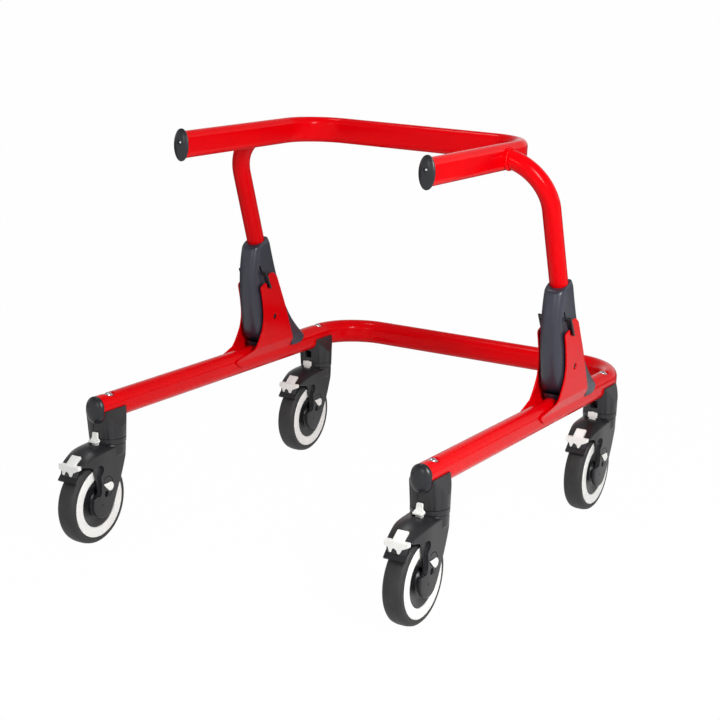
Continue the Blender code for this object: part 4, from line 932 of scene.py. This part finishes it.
def both_sides(*half):
    """A closed profile: corners (radius, along, rounding) of one side, mirrored for the other."""
    return rounded([*half, *((radius, -along, corner) for radius, along, corner in half[::-1])])


half, face = HALF_WHEEL - 0.5, HALF_WHEEL - 1.5
wheel_rings = {
    "tyre": (both_sides((RIM_OUT + 0.3, -half, 0.4), (WHEEL_R - 5.0, -half, 3.0),
                        (WHEEL_R - 1.4, -half + 3.6, 4), (WHEEL_R, -half * 0.35, 20)),
             "black_rubber", None),
    "wheel_rim": (both_sides((RIM_IN, -HALF_WHEEL, 1.0), (RIM_OUT, -HALF_WHEEL, 0.8)),
                  "white_plastic", None),
    "wheel_hub": (both_sides((BORE, -HUB_END, 0.5), (13.0, -HUB_END, 0.8), (17.0, 3.6 - face, 3),
                             (26.0, 2.6 - face, 8), (RIM_IN - 0.3 - 2, -face, 2),
                             (RIM_IN - 0.3, -face, 0.5)), "grey_plastic", BLACK)}
for part_name, (profile, slot_name, other) in wheel_rings.items():
    mesh = mesh_of(part_name, turned(profile, axis="X", sides=120, ring=True))
    for corner, (sign, y) in CORNERS.items():
        piece(f"{part_name}_skin_{corner}", mesh, slot_name, f"wheel_{corner}",
              f"{part_name}_{corner}", place=(sign * TRACK / 2, y - TRAIL, WHEEL_R), look=other)
print("wheel diameter:", 2 * WHEEL_R, "mm")

# %% [markdown]
# ## Caster forks
# A fork is one moulding: two arms, a hood that falls to a lip in front, and a round collar
# under the stem. It has no single grid, so each of these is made as its own closed shell and
# then they are melted together on a fine voxel grid, which also rounds their inner corners
# as a mould does. The slots for the pedal and the lock tab are cut afterwards, because a
# cut has to stay crisp.

# %% Shells of the fork
HOOD_Y = np.array([-81.0, -68.0, -54.0, -40.0, -22.0, 0.0, 12.0])
HOOD_RISE = np.array([-15.8, -7.2, -1.2, 1.7, 1.6, -0.1, -0.1])
HOOD_HALF = np.array([18.7, 20.8, 23.0, 24.0, 24.0, 24.0, 24.0])
HOOD_FALL = np.array([2.2, 4.5, 6.0, 7.0, 5.5, 3.0, 2.2])
ARM_END = 21.5


def hood_at(y, values):
    """A value of the hood, read off its stations by a smooth curve."""
    line = curve(np.column_stack([HOOD_Y, values]), 8)
    return np.interp(y, line[:, 0], line[:, 1])


def arm_outline():
    """Side view of an arm: neck, rear edge, round end, wheel arch, lip and upper edge."""
    turn = np.radians([-40, -65, -90, -115, -140, -165])
    end = np.column_stack([-TRAIL + ARM_END * np.cos(turn), WHEEL_R + ARM_END * np.sin(turn)])
    side = curve([(12.0, COLLAR_Z - 3), (12.0, 134.0), (11.5, 123.0), (7.0, 108.0), (1.0, 92.0),
                  (-6.0, 77.0), (-12.5, 62.0), *end, (-58.6, 67.6), (-56.2, 72.6), (-51.5, 75.4),
                  (-48.4, 79.0), (-48.2, 85.0), (-49.6, 92.0), (-51.8, 100.0), (-53.6, 108.0),
                  (-56.0, 115.6), (-60.6, 119.8), (-69.0, 122.8), (-80.6, 124.6)], 4)
    y = np.linspace(*HOOD_Y[[0, -1]], 30)
    top = np.column_stack([y, COLLAR_Z + hood_at(y, HOOD_RISE - HOOD_FALL)])
    return np.vstack([side, top[:-1]])


def arm(side):
    """One arm, leaning in at the front with the hood."""
    points, faces = pressing(arm_outline(), -FORK_ARM, 0, 1.2)
    points[:, 0] = side * (hood_at(points[:, 1], HOOD_HALF) + points[:, 0])
    return points, faces


def hood():
    """Crown: COLLAR_Z + rise - fall * |u| ** 2.2 across, over the wheel's clearance arc."""
    y = np.linspace(*HOOD_Y[[0, -1]], 48)
    rise, fall, half = (hood_at(y, v)[:, None] for v in (HOOD_RISE, HOOD_FALL, HOOD_HALF))
    arc = WHEEL_R + np.sqrt(np.maximum(WELL_R ** 2 - (y + TRAIL) ** 2, 0))
    under = np.interp(y, [-81, -70, -60, 7, 11.5, 12], [124.5, 123.0, 119.0, 108.0, 123.0, 124.0])
    low = np.maximum(arc, under)[:, None]
    u = np.linspace(-1, 1, 25)[None]
    x = u * (half - 0.6)
    top = np.stack([x, y[:, None] + 0 * u, COLLAR_Z + rise - fall * np.abs(u) ** 2.2], -1)
    base = np.stack([x[:, ::-1], y[:, None] + 0 * u, low + 0 * u], -1)
    return skin(np.concatenate([top, base], 1))


def collar():
    """Round collar under the housing with a soft upper edge, and the stem above it."""
    profile = rounded([(0, 0, 0), (19, 0, 0), (26, 8, 0), (26, 24, 1.0), (6, 24, 0), (6, 39, 0.8),
                       (0, 39, 0)])
    return turned(profile + (0, COLLAR_Z - 24))


# %% Cuts of the fork and the finished fork
PEDAL_Y, PEDAL_Z = -74.0, COLLAR_Z - 18.0
LEVER_Y, LEVER_Z = -25.5, WHEEL_R + 23.5
TAB_BACK, OUT = -27.3, 30.0            # OUT is past the fork's flank and its collar


def block(low, high):
    """A box between two corners."""
    (a, b, c), (d, e, f) = low, high
    ring = [(a, b), (d, b), (d, e), (a, e)]
    return skin(np.array([[(x, y, z) for x, y in ring] for z in (c, f)], float))


def flank_marks():
    """Cuts in the +X flank: a step down in front, a round line about the lever, and a dot."""
    step = [(-44.2, 121.2, 1.5), (-40.0, 117.6, 3), (-39.0, 112.4, 3), (-41.4, 108.2, 3),
            (-44.6, 105.4, 1.2), (-45.6, 101.4, 2), (-43.8, 94.0, 8), (-43.4, 86.0, 8),
            (-43.6, 79.4, 3), (-45.4, 75.8, 2), (-48.6, 74.4, 2), (-58.0, 77.0, 0),
            (-75.0, 80.0, 0), (-75.0, 118.0, 0), (-60.0, 118.8, 0), (-52.0, 121.4, 0)]
    front = pressing(rounded(step), FORK_HALF - 4.4, FORK_HALF + 8, 0.3)
    (y, z), reach = (-30.5, 86.5), 12.6
    turn = np.radians(np.linspace(130, -78, 28))
    places = np.column_stack([np.full(len(turn), FORK_HALF + 0.1), y + reach * np.cos(turn),
                              z + reach * 1.2 * np.sin(turn)])
    along = unit(np.gradient(places, axis=0))
    line = skin(carry((places, along), ellipse(1.6, 2.2, 12), (1, 0, 0)))
    return [front, line, rod(1.3, 23.3, OUT, (0, -40.9, 60.5), "X", 20)]


def fork():
    """The melted shells less the wheel's well, the pedal slot, the tab pocket and the holes."""
    shells = changed(mesh_of("fork", arm(-1), arm(1), hood(), collar()), *fused(0.75, 3))
    axle_at = (0, -TRAIL, WHEEL_R)
    gap = FORK_HALF - FORK_ARM
    well = rod(WELL_R, -gap, gap, axle_at, "X", 120)
    slot = block((-8.6, -95, PEDAL_Z - 25), (8.6, PEDAL_Y + 5.5, PEDAL_Z + 25))
    pins = rod(2.1, -11.5, 11.5, (0, PEDAL_Y, PEDAL_Z), "X", 24)
    front, back, step = TAB_BACK - 3.9, TAB_BACK + 0.3, COLLAR_Z - 2.1
    pocket = block((-7.8, front, COLLAR_Z - 14), (7.8, back, COLLAR_Z + OUT))
    relief = block((-7.8, front - 6.4, step), (7.8, front + 1, COLLAR_Z + OUT))
    dark = [(0, 19.6), (3.4, 19.6), (4.6, 23.4), (4.9, OUT), (0, OUT)]
    dark = turned(dark, (0, -33.0, 75.8), "X", 40)
    seat = rod(2.3, 20.5, OUT, (0, LEVER_Y, LEVER_Z), "X", 24)
    axle_hole = rod(BORE, -OUT, 21.5, axle_at, "X")
    tools = [well, slot, pins, pocket, relief, dark, seat, axle_hole, *flank_marks()]
    return changed(shells, *[cut(mesh_of("tool", tool)) for tool in tools], sharp=32)


fork_mesh = fork()
print("fork:", len(fork_mesh.polygons), "faces")

# %% [markdown]
# ## Small caster parts
# The brake pedal is a white bar with a toothed skirt and a tongue on the hood, and it pushes
# a black shoe on to the tyre. A white slider beside the collar locks the swivel, and a white
# teardrop on the flank chooses the brake's drag. They are all flat mouldings, so each is an
# outline given a depth and a rounded edge.

# %% Pedal, shoe, selector, tab and axle
PEDAL_FRONT, SHOE_GAP, SHOE_THICK = -16.1, 3.2, 4.0


def pedal():
    """White bar, skirt and tongue about the pedal's pivot, with pins into the hood."""
    half, back, front = 17.5, -7.6, PEDAL_FRONT
    teeth = rounded([(-half, 1.5, 1), (-half, -6, 1.6), (-12, -8.3, 1), (-10, -14, 0.8),
                     (-7.8, -14.6, 0.9), (-5, -8.8, 1), (-2.5, -8.4, 1), (0.6, -10.6, 1),
                     (2.4, -14.8, 1), (5, -14.8, 1), (8.5, -8.3, 2), (12, -7, 2),
                     (half, -3.8, 1), (half, 1.5, 1)], 3)
    skirt = laid(pressing(teeth, front, front + 2.6, 0.5))
    bar = pressing(rounded([(front + 0.4, -5, 1.6), (back, -4.5, 0.3), (back, 1, 0.3),
                            (front + 0.4, 1.2, 1.8)]), 0.3 - half, half - 0.3, 0.8)
    tongue = pressing(rounded([(back - 4, -4, 0.5), (2, -4.5, 0.5), (4.2, -1, 1), (4.2, 9, 1),
                               (3, 11.4, 0.8), (0.5, 10.6, 0.6), (back - 4, 1.3, 0.5)], 3),
                      -8, 8, 0.6)
    return mesh_of("pedal", skirt, bar, tongue, rod(1.8, -10.6, 10.6, axis="X", sides=24))


def shoe():
    """Black web and brake shoe, whose face keeps the tyre's curve a few millimetres off."""
    front, back = PEDAL_FRONT + 1.5, PEDAL_FRONT + 5.5
    web = pressing(rounded([(front, -2, 0.4), (front, -16, 0.4), (back, -17, 0.4),
                            (back, -2, 0.4)]), -14.5, 14.5, 0.4)
    centre = np.array([-TRAIL - PEDAL_Y, WHEEL_R - PEDAL_Z])
    turn = np.radians(np.linspace(143, 130, 9))
    arc = np.stack([np.cos(turn), np.sin(turn)], -1)
    radius = WHEEL_R + SHOE_GAP
    outline = np.vstack([centre + arc * radius, centre + arc[::-1] * (radius + SHOE_THICK)])
    return mesh_of("shoe", web, pressing(outline, -16.5, 16.5, 0.5))


def selector():
    """Teardrop: an arc of the round end, then straight tangents to the tip, with a pin."""
    size, tip, aim = 6.6, 17.0, math.radians(160)
    away = math.acos(size / tip)
    turn = aim + away + (2 * math.pi - 2 * away) * np.linspace(0, 1, 25)
    outline = np.vstack([size * np.stack([np.cos(turn), np.sin(turn)], -1),
                         [(tip * math.cos(aim), tip * math.sin(aim))]])
    return mesh_of("selector", pressing(outline, 24.3, 25.9, 0.45),
                   rod(2, 21.3, 25, axis="X", sides=24))


def tab(raised):
    """Lock slider about the collar's top: a tongue with a ledge, or a plain block."""
    if raised:
        corners = [(-5.5, -7, .3), (5.5, -7, .3), (5.5, 4, .3), (7.5, 4, 1), (7.5, 7, 1),
                   (4.4, 10.5, .8), (4.3, 18.3, 1), (-4.3, 18.3, 1), (-5.2, 10.5, .8),
                   (-7.5, 7, 1.2), (-7.5, 4, 1), (-5.5, 4, .3)]
    else:
        corners = [(-5.5, -13, .3), (5.5, -13, .3), (5.5, 2.5, .3), (7.5, 2.5, .8), (7.5, 10.6, 1),
                   (1.5, 11.2, 0), (-.5, 12, 1), (-2.5, 11.2, 0), (-7.5, 11, 1), (-7.5, 2.5, .8),
                   (-5.5, 2.5, .3)]
    slider = pressing(rounded(corners, 3), TAB_BACK - 3.6, TAB_BACK, 0.5)
    shells = [laid(slider, (0, 0, COLLAR_Z))]
    if raised:
        ledge = rounded([(-7.3, -10.1, 2), (7.3, -10.1, 2), (7.3, -1, 0.2), (-7.3, -1, 0.2)])
        shells.append(laid(pressing(ledge, 4.2, 6.8, 0.6), (0, TAB_BACK, COLLAR_Z),
                           v=(0, 1, 0), depth=(0, 0, 1)))
    return mesh_of("tab", *shells)


def axle():
    """Axle bolt, its button head on the -X side."""
    profile = rounded([(0, -26.3, 0), (5.7, -26.3, 1), (6.5, -24.3, 0.3), (4, -24.3, 0),
                       (4, 21.2, 0.4), (0, 21.2, 0)], 4)
    return mesh_of("axle", turned(profile, axis="X", sides=48))


# %% Caster housings
HOUSING_R, HOUSING_EDGE, CRADLE_R, EAR_FRONT = 26.7, 0.8, 15.3, 27.0
EAR_TOP, EAR_FLAT, FACET_SLOPE = 50.9, 17.6, 2.652
GROOVE, GROOVE_DEEP = (7.2, 8.4), 1.1


def caster_housing(drift, slotted):
    """Slices across X: each is the housing's chord and height there, its corners softened.

    Slices double at the rail's flank, where the ears begin: between them the top is the
    rail's underside, and beyond them a flat and then a slanting facet. The ears also grow
    forwards, and the drift moves them with the rail where it starts to bend, by
    radius - sqrt(radius^2 - run^2).
    """
    inner = CRADLE_R * np.sin(np.linspace(-math.pi / 2, math.pi / 2, 25))
    outer = HOUSING_R * np.sin(np.linspace(math.asin(CRADLE_R / HOUSING_R), math.pi / 2, 18))
    x = np.concatenate([-outer[::-1], inner, outer])
    away = np.abs(x)
    under = RAIL_Z - HOUSING_Z - 4.5 - np.sqrt(np.maximum(CRADLE_R ** 2 - away ** 2, 0))
    facet = np.minimum(EAR_TOP, EAR_TOP - FACET_SLOPE * (away - EAR_FLAT))
    first, end = len(outer), len(outer) + len(inner)
    top = np.concatenate([facet[:first], under[first:end], facet[end:]])
    chord = np.sqrt(np.maximum(HOUSING_R ** 2 - x ** 2, 0))
    foot, crown = np.maximum(chord - HOUSING_EDGE, 0), np.maximum(chord - 0.7, 0)
    share = np.linspace(-1, 1, 9)
    y = np.column_stack([foot[:, None] * share, chord, chord, crown[:, None] * share[::-1],
                         -chord, -chord])
    low = np.full(len(x), HOUSING_EDGE)
    z = np.column_stack([np.zeros((len(x), 9)), low, top - 0.7, np.repeat(top[:, None], 9, 1),
                         top - 0.7, low])
    near = np.clip((22.5 - away) / 3.5, 0, 1)[:, None] * (EAR_FRONT - chord[:, None]).clip(0)
    growth = near / np.maximum(chord, 1)[:, None] * np.clip((z - 8) / 26, 0, 1)
    y = y * np.where(y < 0, 1 + growth, 1)
    shift = RAIL_BEND - np.sqrt(RAIL_BEND ** 2 - np.maximum(y - drift, 0) ** 2)
    weight = (np.clip((HOUSING_R - away) / (HOUSING_R - CRADLE_R), 0, 1)[:, None]
              * np.clip(z / 46, 0, 1) ** 4)
    body = mesh_of("housing", skin(np.stack([x[:, None] - shift * weight, y, z], -1)), sharp=30)
    slot = rounded([(-6, 17, 1.8), (6, 17, 1.8), (6, 29, 1.8), (-6, 29, 1.8)])
    slot = laid(pressing(slot, -32, -12 if slotted else -25.9, 0.05))
    floor, rim = HOUSING_R - GROOVE_DEEP, HOUSING_R + 4
    groove = [(floor, GROOVE[0]), (rim, GROOVE[0]), (rim, GROOVE[1]), (floor, GROOVE[1])]
    tools = slot, rod(6.3, -5, 15.3), rod(4.3, 5, 40), turned(groove, sides=96, ring=True)
    return changed(body, *[cut(mesh_of("tool", tool)) for tool in tools], sharp=30)


housings = {FRONT_Y: caster_housing(1000.0, False),
            REAR_Y: caster_housing(CROSS_Y - RAIL_BEND - REAR_Y, True)}
tabs = {FRONT_Y: tab(True), REAR_Y: tab(False)}
pedal_mesh, shoe_mesh, selector_mesh, axle_mesh = pedal(), shoe(), selector(), axle()
caster_rows = [  # piece, mesh, slot, body, CAD node, place behind the stem and height
    ("housing", housings, "black_plastic", "base", "caster_housing", 0, HOUSING_Z),
    ("fork_skin", fork_mesh, "black_plastic", "swivel_{}", "fork", 0, 0),
    ("axle_skin", axle_mesh, "zinc", "swivel_{}", "axle", -TRAIL, WHEEL_R),
    ("pedal", pedal_mesh, "white_plastic", "pedal_{}", "brake_pedal", PEDAL_Y, PEDAL_Z),
    ("shoe", shoe_mesh, "black_plastic", "pedal_{}", "brake_pedal", PEDAL_Y, PEDAL_Z),
    ("lever", selector_mesh, "white_plastic", "lever_{}", "selector", LEVER_Y, LEVER_Z),
    ("tab", tabs, "white_plastic", "tab_{}", "lock_tab", 0, 0)]
for corner, (sign, y) in CORNERS.items():
    for label, mesh, slot_name, body, node_name, behind, height in caster_rows:
        piece(f"{label}_{corner}", mesh[y] if isinstance(mesh, dict) else mesh, slot_name,
              body.format(corner), f"{node_name}_{corner}",
              place=(sign * TRACK / 2, y + behind, height), flip=sign < 0 and label == "housing")
print("caster housing:", len(housings[FRONT_Y].polygons), "faces")

# %% [markdown]
# ## Floor and light
# The picture is a catalogue shot: soft light from all round, a soft box from the right and
# weaker ones from in front and above, on white. The floor is a pale diffuse plane that also
# glows for the camera and for glossy rays, so that the background is white and the enamel
# reflects white, while the floor still takes the object's shadow. In reflections the floor's
# white fades on the dark side, behind on the left, and the studio's fades upwards, because
# the enamel shows both. To the camera all of it is plain white.

# %% Floor and world
FLOOR_REACH, FLOOR_GLOW = 90000.0, 0.985


def white_rays(tree):
    """Light Path, and a node that is 1 for camera, glossy and transmission rays."""
    rays = seen = add(tree, "ShaderNodeLightPath")
    output = "Is Camera Ray"
    for other in ("Is Glossy Ray", "Is Transmission Ray"):
        seen = add(tree, "ShaderNodeMath", [(0, seen, output), (1, rays, other)],
                   operation="MAXIMUM")
        output = "Value"
    return rays, seen


def fading_white(tree, kind, rays, across, start, end, least):
    """White that fades with a value to the least strength, but not for the camera."""
    fading = add(tree, "ShaderNodeMapRange", [("Value", *across)],
                 **{"From Min": start, "From Max": end, "To Min": 1.0, "To Max": least})
    strength = add(tree, "ShaderNodeMath", [(0, fading, "Result"), (1, rays, "Is Camera Ray")],
                   operation="MAXIMUM")
    return add(tree, kind, [("Strength", strength, "Value")], Color=(1, 1, 1, 1))


def either(tree, share, plain, white, output):
    """The plain shader, or the white one where the share is 1."""
    mixed = add(tree, "ShaderNodeMixShader", [("Fac", share, "Value")])
    tree.links.new(plain.outputs[0], mixed.inputs[1])
    tree.links.new(white.outputs[0], mixed.inputs[2])
    add(tree, output, [("Surface", mixed, "Shader")])


def pale_floor():
    """A large plane under the object, whose glow in reflections fades with y - x."""
    corners = FLOOR_REACH * MM * np.array([(-1, -1, 0), (1, -1, 0), (1, 1, 0), (-1, 1, 0)])
    mesh = bpy.data.meshes.new("floor")
    mesh.from_pydata(corners, [], [(0, 1, 2, 3)])
    item = put("floor", mesh)
    material = bpy.data.materials.new("pale_floor")
    material.use_nodes = True
    tree = material.node_tree
    tree.nodes.clear()
    rays, seen = white_rays(tree)
    coords = add(tree, "ShaderNodeTexCoord")
    place = add(tree, "ShaderNodeSeparateXYZ", [("Vector", coords, "Object")])
    across = add(tree, "ShaderNodeMath", [(0, place, "Y"), (1, place, "X")], operation="SUBTRACT")
    glow = fading_white(tree, "ShaderNodeEmission", rays, (across, "Value"), 0.5, 0.85, 0.15)
    matt = add(tree, "ShaderNodeBsdfDiffuse", Color=(0.8, 0.8, 0.8, 1))
    share = add(tree, "ShaderNodeMath", [(0, seen, "Value")], operation="MULTIPLY")
    share.inputs[1].default_value = FLOOR_GLOW
    either(tree, share, matt, glow, "ShaderNodeOutputMaterial")
    mesh.materials.append(material)


def white_world(light):
    """A world that lights softly, and whose white in reflections fades upwards."""
    world = bpy.data.worlds.new("studio")
    bpy.context.scene.world = world
    world.use_nodes = True
    tree = world.node_tree
    tree.nodes.clear()
    rays, seen = white_rays(tree)
    soft = add(tree, "ShaderNodeBackground", Color=(1, 1, 1, 1), Strength=light)
    coords = add(tree, "ShaderNodeTexCoord")
    height = add(tree, "ShaderNodeSeparateXYZ", [("Vector", coords, "Generated")])
    white = fading_white(tree, "ShaderNodeBackground", rays, (height, "Z"), 0.12, 0.6, 0.32)
    either(tree, seen, soft, white, "ShaderNodeOutputWorld")


def lamp(name, place, target, wide, tall, power):
    """A soft box at a place in metres, its tall side in the upright plane of its aim."""
    data = bpy.data.lights.new(name, "AREA")
    data.shape, data.size, data.size_y, data.energy = "RECTANGLE", wide, tall, power
    turn = (Vector(target) - Vector(place)).to_track_quat("-Z", "Y").to_matrix().to_4x4()
    put(name, data).matrix_world = Matrix.Translation(place) @ turn


pale_floor()
white_world(light=0.38)
lamp("soft_box_above", (-0.6, 0.1, 2.1), (0, 0, 0.3), 0.32, 0.32, 5)
lamp("soft_box_right", (1.35, -0.8, 1.1), (0, 0, 0.35), 0.26, 0.6, 23)
lamp("soft_box_front", (0.2, -2.6, 1.1), (0, 0, 0.3), 0.35, 0.35, 6)
print("lamps:", 3)

# %% [markdown]
# ## Camera
# The picture was taken from in front and to the right, a little above the handlebar's
# height, with the camera turned slightly. Its place was worked out by matching straight
# tubes and round wheels, so it is given as two angles, a roll, a distance and the point of
# the picture in which a point on the middle line of the frame appears.

# %% Camera
PICTURE, FOCAL = 720, 1709.66          # in pixels
SENSOR = 36.0
TARGET_AT = (383.34, 353.9)            # where the target appears
TARGET, DISTANCE = Vector((0, 0.0478, 0.25)), 2.6238
AZIMUTH, ELEVATION, ROLL = (math.radians(a) for a in (29.5201, 13.8308, 2.2575))


def camera():
    """A camera whose axes are the view direction rolled about itself, set off by pixels."""
    back = Vector((math.sin(AZIMUTH) * math.cos(ELEVATION),
                   -math.cos(AZIMUTH) * math.cos(ELEVATION), math.sin(ELEVATION)))
    level = Vector((math.cos(AZIMUTH), math.sin(AZIMUTH), 0))
    upright = back.cross(level)
    right = level * math.cos(ROLL) + upright * math.sin(ROLL)
    up = upright * math.cos(ROLL) - level * math.sin(ROLL)
    aside, above = ((at - PICTURE / 2) * DISTANCE / FOCAL for at in TARGET_AT)
    data = bpy.data.cameras.new("camera")
    data.sensor_width, data.lens = SENSOR, FOCAL * SENSOR / PICTURE
    data.clip_start = 0.05
    matrix = Matrix((right, up, back)).transposed().to_4x4()
    matrix.translation = TARGET + back * DISTANCE - right * aside + up * above
    item = put("camera", data)
    item.matrix_world = matrix
    bpy.context.scene.camera = item
    return item


view_camera = camera()
bpy.context.scene.view_settings.view_transform = "Standard"
print("camera at", [round(x, 3) for x in view_camera.matrix_world.translation])
